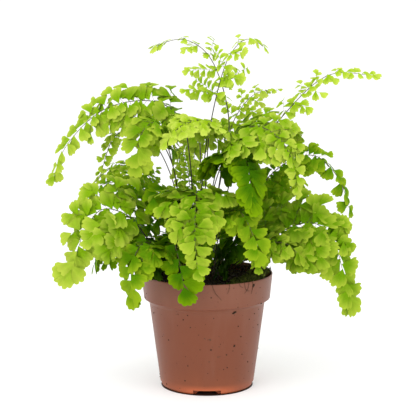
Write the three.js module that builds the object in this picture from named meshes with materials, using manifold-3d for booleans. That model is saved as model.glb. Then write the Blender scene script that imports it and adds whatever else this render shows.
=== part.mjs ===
// Maidenhair fern in a plastic nursery pot. Millimetres, +Z up, origin on the pot's axis at its foot.
//
// The pot is one moulded shell with a stepped band under its rim, a floor raised between a foot ring and a
// centre pad, four notches in the foot ring and drainage holes. Potting soil fills it. Each frond stands in
// a plain hole in the soil: a wiry stem that rises, arches over and hangs, with side pinnae low on its
// blade and fan-shaped, lobed leaflets cut to the rib in two rows.
import * as THREE from "three";
import { mergeVertices } from "three/addons/utils/BufferGeometryUtils.js";
import Module from "manifold-3d";

const wasm = await Module();
wasm.setup();

// Pot
const POT_HEIGHT = 105;
const RIM_RADIUS = 60;
const BAND_HEIGHT = 23;
const BAND_RADIUS = 57.8;
const STEP_HEIGHT = 3.5;
const STEP_RADIUS = 53;
const FOOT_RADIUS = 43.2;
const FOOT_ROUND = 5;
const WALL = 1.3;
const LIP = 1.4;
const CORNER = 0.7;
const FLOOR_RISE = 5;
const RING_INNER = 36.5;
const PAD_RADIUS = 20;
const FLOOR_SLOPE = 1.5;
const NOTCH_WIDTH = 25;
const NOTCH_HEIGHT = 4.7;
const NOTCHES = 4;
const DRAIN_RADIUS = 4;
const DRAIN_CIRCLE = 28.5;
const DRAINS = 6;
const DRAIN_SIDES = 8;
const ROUND_SIDES = 24;

// Soil
const GAP = 0.3;
const SOIL_EDGE = 97.5;
const CROWN_RISE = 3.5;
const CROWN_SPREAD = 26;
const CRUMBS = { height: 0.8, length: 22 };
const MOSS = { height: 4.5, at: THREE.MathUtils.degToRad(-25), arc: 0.7, reach: 0.8, depth: 0.25 };
const SOIL_RINGS = [53, 44, 34, 22, 10];
const SOIL_ROUND = 1.5;

// Fronds
const CROWN = new THREE.Vector2(-9, 2);
const ROOT_TOP = 94;
const ROOT_DEPTH = 14;
const STEM_RADIUS = 1;
const STEM_SIDES = 3;
const STEM_STEPS = 7;
const RIB_HALF = 0.7;
const BLADE = 0.7;
const CLEARANCE = 0.25;
const OVERLAP = 4;
const FORK = 6;
const LEAN = THREE.MathUtils.degToRad(24);
const FOLD = THREE.MathUtils.degToRad(-22);
const FLUTTER = THREE.MathUtils.degToRad(16);
const LEAF_WIDTH = 1.14;
const PITCH = 0.61;
const STALK_HALF = 1;
const OFF_RIB = 1.6;
const RIB_STEP = 5;
const RIB_SAG = 0.55;
const TIP_SHARE = 0.62;
const END_ROOM = 0.2;
const MEDIUM_LEAFLET = 8.5;
const LARGE_LEAFLET = 15;
const PINNA_ANGLE = THREE.MathUtils.degToRad(55);
const PINNA_DROOP = 0.4;
const PINNA_TAPER = 0.16;
const PINNA_LEAF = 0.88;
const PINNA_SPACING = 1.05;
const PINNA_FIRST = 0.6;
const PINNA_SECOND = 1.3;

// Turns and sizes that a leaflet may take, in order, to stay clear of what lies next to it.
const TURNS = [0, 22, -22, 44, -44, 66, -62].map(THREE.MathUtils.degToRad);
const SIZES = [1, 0.82, 0.66, 0.5];

// A leaflet's lobed edge, in shares of its length and width, from its side near the root to its side near
// the tip.
const FAN_SMALL = [[0.6, -0.46], [1, 0.02], [0.7, 0.46]];
const FAN_MEDIUM = [[0.56, -0.5], [1, -0.24], [0.78, 0.04], [0.94, 0.44]];
const FAN_LARGE = [[0.5, -0.5], [0.96, -0.32], [0.78, -0.04], [1, 0.22], [0.72, 0.48]];
const FAN_END = [[0.55, 0.46], [0.98, 0.2], [0.8, -0.04], [0.9, -0.36]];
const FAN_END_SMALL = [[0.55, 0.44], [1, 0.04], [0.55, -0.44]];

// Each frond's root lies at an angle round the crown (0 is right, 90 is back) and a distance from it, and
// its stem then passes through the points of its path. Its blade starts at a share of the stem's length
// with side pinnae, the lowest of the given length, before leaflets of the given length take over. It faces
// up where it arches over and outward where it hangs, rolled about its rib by the given angles at its foot
// and at its tip.
const FRONDS = [
  {
    name: "frond_tall_left", at: 20, ring: 8,
    leaf: 10, from: 0.64, pinnae: 3, pinna: 36, roll: [35, 30], tone: "fresh",
    path: [[12, 12, 190], [20, 15, 243], [1, 20, 302], [-22, 20, 316], [-53, 15, 308]],
  },
  {
    name: "frond_tall_right", at: 300, ring: 5,
    leaf: 10, from: 0.66, pinnae: 3, pinna: 34, roll: [-30, -30], tone: "fresh",
    path: [[-1, -2, 190], [4, 0, 245], [22, 0, 305], [37, 0, 317], [56, -5, 306]],
  },
  {
    name: "frond_far_right", at: 10, ring: 13,
    leaf: 11, from: 0.54, pinnae: 3, pinna: 30, roll: [-35, -35], tone: "fresh",
    path: [[38, 15, 202], [69, 20, 246], [112, 20, 284], [157, 10, 283]],
  },
  {
    name: "frond_tall_back", at: 60, ring: 12,
    leaf: 9, from: 0.68, pinnae: 3, pinna: 32, roll: [-25, -20], tone: "fresh",
    path: [[14, 45, 190], [26, 60, 240], [46, 62, 264], [72, 60, 268]],
  },
  {
    name: "frond_left_high", at: 200, ring: 5,
    leaf: 14, from: 0.5, pinnae: 4, pinna: 36, roll: [35, 65], tone: "green",
    path: [[-15, -5, 205], [-24, -10, 247], [-46, -15, 262], [-90, -20, 256], [-127, -20, 220],
      [-138, -20, 187]],
  },
  {
    name: "frond_left_high_front", at: 215, ring: 11,
    leaf: 14, from: 0.66, pinnae: 2, pinna: 30, roll: [15, 25], tone: "green",
    path: [[-30, -26, 205], [-44, -47, 246], [-55, -58, 240], [-62, -62, 203]],
  },
  {
    name: "frond_left_high_back", at: 175, ring: 13,
    leaf: 13, from: 0.58, pinnae: 2, pinna: 32, roll: [30, 50], tone: "fresh",
    path: [[-32, 5, 205], [-54, 12, 238], [-76, 12, 250], [-98, 6, 246]],
  },
  {
    name: "frond_left_mid", at: 185, ring: 18,
    leaf: 14, from: 0.52, pinnae: 2, pinna: 22, roll: [35, 55], tone: "deep",
    path: [[-36, -2, 154], [-58, -6, 181], [-82, -8, 189], [-104, -10, 181], [-112, -12, 162]],
  },
  {
    name: "frond_left_mid_back", at: 150, ring: 18,
    leaf: 11, from: 0.56, pinnae: 2, pinna: 26, roll: [30, 35], tone: "fresh",
    path: [[-34, 26, 150], [-54, 38, 188], [-84, 44, 198], [-114, 45, 174]],
  },
  {
    name: "frond_left_low", at: 205, ring: 19,
    leaf: 20, from: 0.46, pinnae: 2, pinna: 36, roll: [35, 65], tone: "green",
    path: [[-51, -28, 138], [-72, -42, 165], [-92, -48, 170], [-107, -50, 152], [-114, -50, 132],
      [-124, -50, 102]],
  },
  {
    name: "frond_left_front_low", at: 225, ring: 16,
    leaf: 17, from: 0.5, pinnae: 1, pinna: 26, roll: [15, 25], tone: "deep",
    path: [[-36, -30, 128], [-54, -50, 141], [-64, -62, 128], [-64, -67, 88]],
  },
  {
    name: "frond_front_low", at: 250, ring: 17,
    leaf: 17, from: 0.55, pinnae: 1, pinna: 24, roll: [0, 0], tone: "deep",
    path: [[-24, -34, 134], [-30, -54, 146], [-25, -68, 132], [-17, -76, 92]],
  },
  {
    name: "frond_front_left_mid", at: 228, ring: 8,
    leaf: 16, from: 0.6, pinnae: 2, pinna: 24, roll: [35, 30], tone: "deep",
    path: [[-22, -20, 150], [-31, -34, 180], [-43, -46, 184], [-53, -54, 170]],
  },
  {
    name: "frond_front_centre", at: 262, ring: 9,
    leaf: 16, from: 0.48, pinnae: 5, pinna: 34, roll: [0, 0], tone: "fresh",
    path: [[-9, -30, 165], [-9, -56, 187], [-10, -76, 174], [-10, -91, 148], [-7, -99, 118]],
  },
  {
    name: "frond_top_front", at: 275, ring: 3,
    leaf: 12, from: 0.66, pinnae: 4, pinna: 34, roll: [10, 10], tone: "fresh",
    path: [[-4, -12, 195], [0, -22, 236], [-6, -44, 248], [-24, -60, 243], [-38, -70, 226]],
  },
  {
    name: "frond_centre_right_high", at: 292, ring: 12,
    leaf: 15, from: 0.6, pinnae: 3, pinna: 27, roll: [-30, -30], tone: "deep",
    path: [[4, -28, 178], [19, -48, 218], [33, -64, 216], [37, -72, 198], [36, -76, 170]],
  },
  {
    name: "frond_centre_right_low", at: 312, ring: 18,
    leaf: 15, from: 0.58, pinnae: 2, pinna: 26, roll: [-30, -30], tone: "green",
    path: [[12, -34, 148], [25, -57, 172], [36, -72, 160], [46, -83, 129]],
  },
  {
    name: "frond_right_high_front", at: 330, ring: 8,
    leaf: 15, from: 0.56, pinnae: 4, pinna: 38, roll: [-30, -35], tone: "fresh",
    path: [[5, -14, 185], [18, -32, 226], [42, -48, 243], [63, -62, 233], [74, -70, 211], [77, -72, 182]],
  },
  {
    name: "frond_right_mid", at: 350, ring: 17,
    leaf: 13, from: 0.5, pinnae: 2, pinna: 28, roll: [-25, -35], tone: "deep",
    path: [[36, 6, 165], [70, 10, 203], [98, 10, 211], [120, 2, 190], [131, -5, 155]],
  },
  {
    name: "frond_right_back", at: 20, ring: 20,
    leaf: 14, from: 0.52, pinnae: 2, pinna: 28, roll: [-30, -35], tone: "deep",
    path: [[36, 22, 150], [62, 32, 182], [86, 34, 184], [99, 30, 150]],
  },
  {
    name: "frond_right_low_inner", at: 332, ring: 19,
    leaf: 16, from: 0.52, pinnae: 1, pinna: 24, roll: [-30, -40], tone: "deep",
    path: [[28, -28, 120], [50, -42, 138], [70, -52, 140], [86, -58, 124]],
  },
  {
    name: "frond_right_low", at: 343, ring: 23,
    leaf: 19, from: 0.44, pinnae: 2, pinna: 30, roll: [-35, -65], tone: "green",
    path: [[38, -16, 122], [66, -28, 147], [96, -38, 156], [114, -42, 134], [121, -42, 110], [128, -42, 76]],
  },
  {
    name: "frond_inner_left", at: 210, ring: 26,
    leaf: 15, from: 0.6, pinnae: 1, pinna: 20, roll: [15, 25], tone: "deep",
    path: [[-34, -22, 118], [-42, -34, 126], [-48, -42, 108]],
  },
  {
    name: "frond_inner_right", at: 318, ring: 26,
    leaf: 14, from: 0.56, pinnae: 1, pinna: 22, roll: [-15, -25], tone: "deep",
    path: [[16, -27, 126], [25, -36, 137], [34, -44, 131]],
  },
  {
    name: "frond_back_centre", at: 100, ring: 8,
    leaf: 10, from: 0.6, pinnae: 2, pinna: 24, roll: [0, 0], tone: "fresh",
    path: [[-13, 24, 150], [-18, 34, 193], [-24, 50, 212], [-32, 66, 206]],
  },
  {
    name: "frond_back_right_high", at: 42, ring: 14,
    leaf: 14, from: 0.54, pinnae: 3, pinna: 32, roll: [0, 0], tone: "fresh",
    path: [[24, 36, 190], [48, 66, 228], [76, 92, 230], [98, 110, 182]],
  },
  {
    name: "frond_back_right_low", at: 40, ring: 22,
    leaf: 17, from: 0.5, pinnae: 1, pinna: 28, roll: [0, 0], tone: "green",
    path: [[30, 38, 128], [56, 62, 150], [80, 84, 136], [90, 94, 96]],
  },
  {
    name: "frond_back_high", at: 85, ring: 12,
    leaf: 14, from: 0.56, pinnae: 3, pinna: 32, roll: [0, 0], tone: "fresh",
    path: [[-6, 44, 195], [-8, 78, 234], [-10, 110, 226], [-14, 130, 180]],
  },
  {
    name: "frond_back_low", at: 92, ring: 21,
    leaf: 18, from: 0.48, pinnae: 2, pinna: 28, roll: [0, 0], tone: "green",
    path: [[-12, 50, 130], [-14, 80, 150], [-16, 104, 132], [-16, 112, 92]],
  },
  {
    name: "frond_back_left_high", at: 128, ring: 13,
    leaf: 14, from: 0.54, pinnae: 3, pinna: 32, roll: [0, 0], tone: "green",
    path: [[-34, 38, 190], [-60, 68, 226], [-88, 92, 222], [-108, 108, 172]],
  },
  {
    name: "frond_back_left_low", at: 138, ring: 23,
    leaf: 18, from: 0.48, pinnae: 1, pinna: 28, roll: [0, 0], tone: "deep",
    path: [[-48, 36, 126], [-72, 58, 144], [-92, 78, 128], [-98, 86, 92]],
  },
  {
    name: "frond_left_back_low", at: 168, ring: 23,
    leaf: 17, from: 0.5, pinnae: 1, pinna: 26, roll: [15, 25], tone: "deep",
    path: [[-54, 16, 126], [-80, 26, 142], [-100, 32, 126], [-106, 34, 96]],
  },
];

const LEAF_TONES = { fresh: 0x9cc63a, green: 0x6fa82a, deep: 0x3f7d1e };
const POT_COLOUR = 0x9a543c;
const SOIL_COLOUR = 0x2e211a;
const LEAF_ROUGHNESS = 0.55;
const POT_ROUGHNESS = 0.38;
const SOIL_ROUGHNESS = 0.95;

const UP = new THREE.Vector3(0, 0, 1);

// A generator of even draws from 0 to 1, the same on each run.
function draws(seed) {
  let state = seed;
  return () => {
    state = (state * 1664525 + 1013904223) % 4294967296;
    return state / 4294967296;
  };
}

// A closed solid from points and triangles.
function solid(points, faces) {
  const vertProperties = Float32Array.from(points.flatMap((point) => point.toArray()));
  const triVerts = Uint32Array.from(faces.flat());
  return new wasm.Manifold(new wasm.Mesh({ numProp: 3, vertProperties, triVerts }));
}

// A closed solid from a three.js geometry.
function solidOf(geometry) {
  const bare = geometry.clone();
  bare.deleteAttribute("normal");
  bare.deleteAttribute("uv");
  const merged = mergeVertices(bare, 1e-3);
  const vertProperties = Float32Array.from(merged.attributes.position.array);
  const triVerts = Uint32Array.from(merged.index.array);
  return new wasm.Manifold(new wasm.Mesh({ numProp: 3, vertProperties, triVerts }));
}

// A named mesh of a solid.
function meshOf(name, body, colour, roughness) {
  const mesh = body.getMesh();
  const geometry = new THREE.BufferGeometry();
  geometry.setAttribute("position", new THREE.BufferAttribute(mesh.vertProperties, 3));
  geometry.setIndex(new THREE.BufferAttribute(mesh.triVerts, 1));
  geometry.computeVertexNormals();
  const material = new THREE.MeshStandardMaterial({ color: colour, roughness, metalness: 0 });
  const part = new THREE.Mesh(geometry, material);
  part.name = name;
  return part;
}

// A ring of revolution about Z from a profile of radii and heights.
function turned(profile) {
  const points = profile.map(([radius, height]) => new THREE.Vector2(radius, height));
  const geometry = new THREE.LatheGeometry(points, ROUND_SIDES);
  geometry.rotateX(Math.PI / 2);
  return geometry;
}

// The pot's inner face from the floor's edge to the rim, drawn in by a margin.
function innerWall(margin) {
  const step = POT_HEIGHT - BAND_HEIGHT;
  const inset = WALL + margin;
  return [
    [FOOT_RADIUS - inset - CORNER, FLOOR_RISE + inset],
    [FOOT_RADIUS - inset + CORNER / 2, FLOOR_RISE + inset + FOOT_ROUND / 2],
    [STEP_RADIUS - inset, step - STEP_HEIGHT + CORNER],
    [BAND_RADIUS - inset, step + CORNER],
  ];
}

// The pot's floor from its middle to its edge, lifted by a margin.
function floorLine(margin) {
  const lift = WALL + margin;
  return [
    [0, lift],
    [PAD_RADIUS - CORNER, lift],
    [PAD_RADIUS + FLOOR_SLOPE - CORNER, FLOOR_RISE + lift],
  ];
}

// The pot: shell, notches in its foot ring, drainage holes.
function potBody() {
  const step = POT_HEIGHT - BAND_HEIGHT;
  const round = (degrees) => {
    const angle = THREE.MathUtils.degToRad(degrees);
    return [FOOT_RADIUS - FOOT_ROUND * (1 - Math.sin(angle)), FOOT_ROUND * (1 - Math.cos(angle))];
  };
  const outside = [
    [0, 0],
    [PAD_RADIUS, 0],
    [PAD_RADIUS + FLOOR_SLOPE, FLOOR_RISE],
    [RING_INNER - FLOOR_SLOPE, FLOOR_RISE],
    [RING_INNER, 0],
    round(0),
    round(30),
    round(60),
    round(85),
    [STEP_RADIUS, step - STEP_HEIGHT],
    [STEP_RADIUS + CORNER, step - STEP_HEIGHT + CORNER],
    [BAND_RADIUS - CORNER, step - CORNER],
    [BAND_RADIUS, step],
    [RIM_RADIUS, POT_HEIGHT - LIP],
    [RIM_RADIUS - LIP / 4, POT_HEIGHT - LIP / 6],
    [RIM_RADIUS - WALL / 2, POT_HEIGHT],
    [RIM_RADIUS - WALL, POT_HEIGHT - LIP / 2],
  ];
  const profile = [...outside, ...innerWall(0).reverse(), ...floorLine(0).reverse()];
  let body = solidOf(turned(profile));
  for (let i = 0; i < NOTCHES; i += 1) {
    const depth = 2 * (FOOT_RADIUS - RING_INNER + FLOOR_SLOPE);
    const notch = new THREE.BoxGeometry(NOTCH_WIDTH, depth, 2 * NOTCH_HEIGHT);
    notch.translate(0, -FOOT_RADIUS, 0);
    notch.rotateZ((i * 2 * Math.PI) / NOTCHES);
    body = body.subtract(solidOf(notch));
  }
  for (let i = 0; i < DRAINS; i += 1) {
    const drain = new THREE.CylinderGeometry(DRAIN_RADIUS, DRAIN_RADIUS, 4 * WALL, DRAIN_SIDES);
    drain.rotateX(Math.PI / 2);
    drain.translate(DRAIN_CIRCLE, 0, FLOOR_RISE + WALL / 2);
    drain.rotateZ(((i + 0.5) * 2 * Math.PI) / DRAINS);
    body = body.subtract(solidOf(drain));
  }
  return body;
}

// Height of the soil's surface: a low mound at the crown, moss on the right by the rim, and crumbs all over.
function soilHeight(x, y) {
  const crown = Math.exp(-((x - CROWN.x) ** 2 + (y - CROWN.y) ** 2) / CROWN_SPREAD ** 2);
  const angle = Math.atan2(y, x) - MOSS.at;
  const reach = Math.hypot(x, y) / RIM_RADIUS - MOSS.reach;
  const moss = Math.exp(-((angle / MOSS.arc) ** 2) - (reach / MOSS.depth) ** 2);
  const wave = (2 * Math.PI) / CRUMBS.length;
  const crumbs = Math.sin(wave * x) * Math.sin(wave * y + 1) + Math.sin((wave * (x - y)) / 2) / 2;
  return SOIL_EDGE + CROWN_RISE * crown + MOSS.height * moss + CRUMBS.height * crumbs;
}

// The soil: a block that fills the pot with a small gap all round, and an uneven top.
function soilBody() {
  const side = innerWall(GAP);
  const taper = (RIM_RADIUS - BAND_RADIUS) / BAND_HEIGHT;
  const edge = RIM_RADIUS - WALL - 2 * GAP - taper * (POT_HEIGHT - SOIL_EDGE);
  const top = [[edge, SOIL_EDGE - SOIL_ROUND], ...[...SOIL_RINGS, 0].map((radius) => [radius, SOIL_EDGE])];
  const geometry = turned([...floorLine(GAP), ...side, ...top]);
  const position = geometry.attributes.position;
  for (let i = 0; i < position.count; i += 1) {
    const x = position.getX(i);
    const y = position.getY(i);
    if (position.getZ(i) > SOIL_EDGE - SOIL_ROUND / 2) {
      position.setZ(i, soilHeight(x, y));
    }
  }
  return solidOf(geometry);
}

// The curve of a frond's stem and rib, from its foot in the soil to its tip.
function axisOf(frond) {
  const angle = THREE.MathUtils.degToRad(frond.at);
  const x = CROWN.x + frond.ring * Math.cos(angle);
  const y = CROWN.y + frond.ring * Math.sin(angle);
  const foot = new THREE.Vector3(x, y, ROOT_TOP - ROOT_DEPTH);
  const root = new THREE.Vector3(x, y, ROOT_TOP);
  const path = frond.path.map((point) => new THREE.Vector3(...point));
  return new THREE.CatmullRomCurve3([foot, root, ...path]);
}

// A slim tube along a stretch of a curve.
function tube(curve, share, radius) {
  const points = [];
  for (let i = 0; i <= STEM_STEPS; i += 1) {
    points.push(curve.getPointAt((share * i) / STEM_STEPS));
  }
  const shape = new THREE.Shape();
  for (let i = 0; i < STEM_SIDES; i += 1) {
    const angle = (i * 2 * Math.PI) / STEM_SIDES;
    shape[i === 0 ? "moveTo" : "lineTo"](radius * Math.cos(angle), radius * Math.sin(angle));
  }
  shape.closePath();
  const extrudePath = new THREE.CatmullRomCurve3(points);
  return solidOf(new THREE.ExtrudeGeometry(shape, { steps: STEM_STEPS, extrudePath, bevelEnabled: false }));
}

// A sheet is the middle surface of a frond's blade: one loop of edge points, filled with triangles.
class Sheet {
  constructor() {
    this.loop = [];
    this.faces = [];
  }

  // Adds the loop's next point, with the way that the sheet faces there.
  add(point, normal) {
    this.loop.push({ point, normal });
    return this.loop.length - 1;
  }

  // Fills the space between a corner and the points that it sees, in order.
  spread(corner, others) {
    for (let i = 1; i < others.length; i += 1) {
      this.faces.push([corner, others[i - 1], others[i]]);
    }
  }

  // Fills the rib between its two edges, each listed from foot to tip.
  zip(left, right) {
    let i = 0;
    let j = 0;
    while (i < left.length - 1 || j < right.length - 1) {
      const leftNext = i < left.length - 1 ? left[i + 1].distance : Infinity;
      const rightNext = j < right.length - 1 ? right[j + 1].distance : Infinity;
      if (leftNext <= rightNext) {
        this.faces.push([left[i].index, left[i + 1].index, right[j].index]);
        i += 1;
      } else {
        this.faces.push([left[i].index, right[j + 1].index, right[j].index]);
        j += 1;
      }
    }
  }

  // The closed solid of a given thickness, with both faces split alike.
  thicken(thickness) {
    const count = this.loop.length;
    const lift = (by) => this.loop.map(({ point, normal }) => point.clone().addScaledVector(normal, by));
    const all = [];
    this.faces.forEach(([a, b, c]) => all.push([c, b, a], [count + a, count + b, count + c]));
    for (let i = 0; i < count; i += 1) {
      const next = (i + 1) % count;
      all.push([i, next, count + next], [i, count + next, count + i]);
    }
    return solid([...lift(thickness / 2), ...lift(-thickness / 2)], all);
  }
}

// A strand is a stretch of rib with leaflets: a frond's blade, or one of its side pinnae.
class Strand {
  constructor(curve, start, leaf, left, roll) {
    this.curve = curve;
    this.start = start;
    this.leaf = leaf;
    this.left = left;
    this.roll = roll;
    this.length = curve.getLength() - start;
    this.branches = [];
  }

  // Place and directions at a distance along the strand: ahead, to the left, and out of the blade's face.
  frame(distance) {
    const share = THREE.MathUtils.clamp((this.start + distance) / this.curve.getLength(), 0, 1);
    const place = this.curve.getPointAt(share);
    const ahead = this.curve.getTangentAt(share).normalize();
    const left = this.left.clone().addScaledVector(ahead, -this.left.dot(ahead)).normalize();
    const angle = THREE.MathUtils.lerp(...this.roll, THREE.MathUtils.clamp(distance / this.length, 0, 1));
    left.applyAxisAngle(ahead, -THREE.MathUtils.degToRad(angle));
    const out = new THREE.Vector3().crossVectors(ahead, left);
    return { place, ahead, left, out };
  }

  // A leaflet's length at a distance along the strand: full at its foot, less towards its tip.
  leafAt(distance) {
    return this.leaf * THREE.MathUtils.lerp(1, TIP_SHARE, Math.max(0, distance / this.length) ** 1.5);
  }

  // Where the leaflet at the strand's tip begins.
  get end() {
    return this.length - this.leafAt(this.length);
  }

  // The point on one edge of the rib at a distance.
  edge(distance, side) {
    const { place, left } = this.frame(distance);
    return place.addScaledVector(left, side * RIB_HALF);
  }

  // The points of a leaflet's lobed edge, from its side near the root, with the way that its face looks.
  fan(leaflet) {
    const { ahead, left, out } = this.frame(leaflet.distance);
    const outward = left.multiplyScalar(leaflet.side).applyAxisAngle(ahead, leaflet.side * leaflet.turn);
    const normal = out.applyAxisAngle(ahead, leaflet.side * leaflet.turn);
    const length = this.leafAt(leaflet.distance) * leaflet.size;
    const width = length * LEAF_WIDTH;
    const base = this.edge(leaflet.distance, leaflet.side);
    const points = fanOf(length).map(([along, across]) => {
      const forward = along * length * Math.sin(LEAN) + across * width * Math.cos(LEAN);
      const away = along * length * Math.cos(LEAN) - across * width * Math.sin(LEAN);
      return base.clone().addScaledVector(ahead, forward).addScaledVector(outward, away);
    });
    return { points, normal };
  }

  // Traces the strand's edge on a sheet from its left foot round its tip to its right foot, filling what it
  // passes, and gives the points of its rib's two edges.
  trace(sheet) {
    const rib = { left: [], right: [] };
    let reached = 0;
    const put = (distance, side) => {
      const index = sheet.add(this.edge(distance, side), this.frame(distance).out);
      rib[side > 0 ? "left" : "right"].push({ distance, index });
      return index;
    };
    const follow = (from, to, side) => {
      const middle = (from + to) / 2;
      const straight = this.edge(from, side).lerp(this.edge(to, side), 0.5);
      if (straight.distanceTo(this.edge(middle, side)) > RIB_SAG) {
        follow(from, middle, side);
        put(middle, side);
        follow(middle, to, side);
      }
    };
    const mark = (distance, side) => {
      follow(reached, distance, side);
      reached = distance;
      return put(distance, side);
    };
    const pass = (branch) => {
      const first = mark(branch.distance - branch.side * STALK_HALF, branch.side);
      if (branch.strand) {
        const inner = branch.strand.trace(sheet);
        const last = mark(branch.distance + branch.side * STALK_HALF, branch.side);
        sheet.zip([{ index: first }, ...inner.left], [{ index: last }, ...inner.right]);
        return;
      }
      const { points, normal } = this.fan(branch);
      const ordered = branch.side > 0 ? points : points.reverse();
      const tips = ordered.map((point) => sheet.add(point, normal));
      sheet.spread(first, [...tips, mark(branch.distance + branch.side * STALK_HALF, branch.side)]);
    };
    const ordered = [...this.branches].sort((a, b) => a.distance - b.distance);
    ordered.filter((branch) => branch.side > 0).forEach(pass);
    const first = mark(this.end, 1);
    const { points, normal } = this.endFan();
    const tips = points.map((point) => sheet.add(point, normal));
    sheet.spread(first, [...tips, mark(this.end, -1)]);
    ordered.filter((branch) => branch.side < 0).reverse().forEach(pass);
    follow(reached, 0, -1);
    rib.right.reverse();
    return rib;
  }

  // The points of the edge of the leaflet at the tip, from left to right, with the way that its face looks.
  endFan() {
    const { place, ahead, left, out } = this.frame(this.end);
    const length = this.leafAt(this.length);
    const points = endFanOf(length).map(([along, across]) => {
      const point = place.clone().addScaledVector(ahead, along * length);
      return point.addScaledVector(left, across * length);
    });
    return { points, normal: out };
  }

  // The strand as a solid of its own, with what branches from it.
  body(thickness) {
    const sheet = new Sheet();
    const first = sheet.add(this.edge(0, 1), this.frame(0).out);
    const rib = this.trace(sheet);
    const last = sheet.add(this.edge(0, -1), this.frame(0).out);
    sheet.zip([{ index: first }, ...rib.left], [{ index: last }, ...rib.right]);
    return sheet.thicken(thickness);
  }

  // The strand's rib alone.
  ribBody(thickness) {
    const sheet = new Sheet();
    const steps = Math.max(1, Math.round(this.end / RIB_STEP));
    const left = [];
    const right = [];
    for (let i = 0; i <= steps; i += 1) {
      const distance = (this.end * i) / steps;
      left.push({ distance, index: sheet.add(this.edge(distance, 1), this.frame(distance).out) });
    }
    for (let i = steps; i >= 0; i -= 1) {
      const distance = (this.end * i) / steps;
      right.unshift({ distance, index: sheet.add(this.edge(distance, -1), this.frame(distance).out) });
    }
    sheet.zip(left, right);
    return sheet.thicken(thickness);
  }

  // The leaflet at the strand's tip alone.
  endBody(thickness) {
    const { points, normal } = this.endFan();
    return flat([this.edge(this.end, 1), ...points, this.edge(this.end, -1)], normal, thickness);
  }

  // One leaflet as a solid, from just off the rib.
  leafletBody(leaflet, thickness) {
    const { points, normal } = this.fan(leaflet);
    const near = this.edge(leaflet.distance - STALK_HALF, leaflet.side * OFF_RIB);
    const far = this.edge(leaflet.distance + STALK_HALF, leaflet.side * OFF_RIB);
    const outline = [near, ...points, far];
    return flat(leaflet.side > 0 ? outline : outline.reverse(), normal, thickness);
  }
}

// A flat plate whose outline is seen whole from its first point.
function flat(outline, normal, thickness) {
  const sheet = new Sheet();
  const corners = outline.map((point) => sheet.add(point, normal));
  sheet.spread(corners[0], corners.slice(1));
  return sheet.thicken(thickness);
}

// A leaflet's outline: more lobes on a larger one.
function fanOf(length) {
  if (length < MEDIUM_LEAFLET) {
    return FAN_SMALL;
  }
  return length < LARGE_LEAFLET ? FAN_MEDIUM : FAN_LARGE;
}

// The outline of the leaflet at a strand's tip.
function endFanOf(length) {
  return length < MEDIUM_LEAFLET ? FAN_END_SMALL : FAN_END;
}

// A side pinna: leaves the rib at an angle and droops.
function pinnaCurve(frame, side, length) {
  const away = frame.ahead.clone().multiplyScalar(Math.cos(PINNA_ANGLE));
  away.addScaledVector(frame.left, side * Math.sin(PINNA_ANGLE));
  const points = [0, 0.35, 0.7, 1].map((share) => {
    const point = frame.place.clone().addScaledVector(away, share * length);
    return point.addScaledVector(UP, -PINNA_DROOP * length * share * share);
  });
  return new THREE.CatmullRomCurve3(points);
}

// Leaflets' places along a strand, on alternate sides.
function setLeaflets(strand, first, side, next) {
  let distance = first;
  let hand = side;
  while (distance < strand.end - END_ROOM * strand.leaf) {
    strand.branches.push({ distance, side: hand, turn: FOLD + FLUTTER * (next() - 0.5), size: 1 });
    distance += strand.leafAt(distance) * LEAF_WIDTH * PITCH;
    hand = -hand;
  }
}

// A frond's strands: its blade first, then its side pinnae.
function strandsOf(frond, next) {
  const axis = axisOf(frond);
  const outward = axis.getPoint(1).sub(axis.getPoint(0)).setZ(0).normalize();
  const start = axis.getLength() * frond.from - OVERLAP;
  const left = new THREE.Vector3().crossVectors(UP, outward);
  const blade = new Strand(axis, start, frond.leaf, left, frond.roll);
  const strands = [blade];
  let distance = FORK;
  let side = 1;
  for (let i = 0; i < frond.pinnae; i += 1) {
    const length = frond.pinna * (1 - PINNA_TAPER * i);
    const fork = blade.frame(distance);
    const curve = pinnaCurve(fork, side, length);
    const across = new THREE.Vector3().crossVectors(fork.out, curve.getTangent(0));
    const pinna = new Strand(curve, 0, frond.leaf * PINNA_LEAF, across, [0, 0]);
    const low = { distance: pinna.leaf * PINNA_FIRST, side, turn: FOLD, size: 1 };
    pinna.branches.push(low);
    setLeaflets(pinna, pinna.leaf * PINNA_SECOND, -side, next);
    blade.branches.push({ distance, side, strand: pinna });
    strands.push(pinna);
    distance += frond.leaf * PINNA_SPACING;
    side = -side;
  }
  setLeaflets(blade, distance, side, next);
  return strands;
}

// Whether two solids meet.
function meets(a, b) {
  const common = a.body.intersect(b.body);
  const empty = common.isEmpty();
  common.delete();
  return !empty;
}

// A solid with its box, its frond and its strand.
function guarded(body, frond, strand) {
  const { min, max } = body.boundingBox();
  const box = new THREE.Box3(new THREE.Vector3(...min), new THREE.Vector3(...max));
  return { body, box, frond, strand };
}

const pot = potBody();
const soil = soilBody();
const next = draws(7);
const plants = FRONDS.map((frond) => ({ frond, axis: axisOf(frond), strands: strandsOf(frond, next) }));

// What leaflets stay clear of: pot, soil, stems and ribs, and then each leaflet that is already in place.
const taken = [guarded(pot), guarded(soil)];
plants.forEach(({ frond, axis, strands }) => {
  taken.push(guarded(tube(axis, frond.from, STEM_RADIUS + 2 * CLEARANCE), frond, axis));
  strands.forEach((strand) => {
    taken.push(guarded(strand.ribBody(BLADE + 2 * CLEARANCE), frond, strand));
    taken.push(guarded(strand.endBody(BLADE + 2 * CLEARANCE), frond));
  });
});

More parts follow.
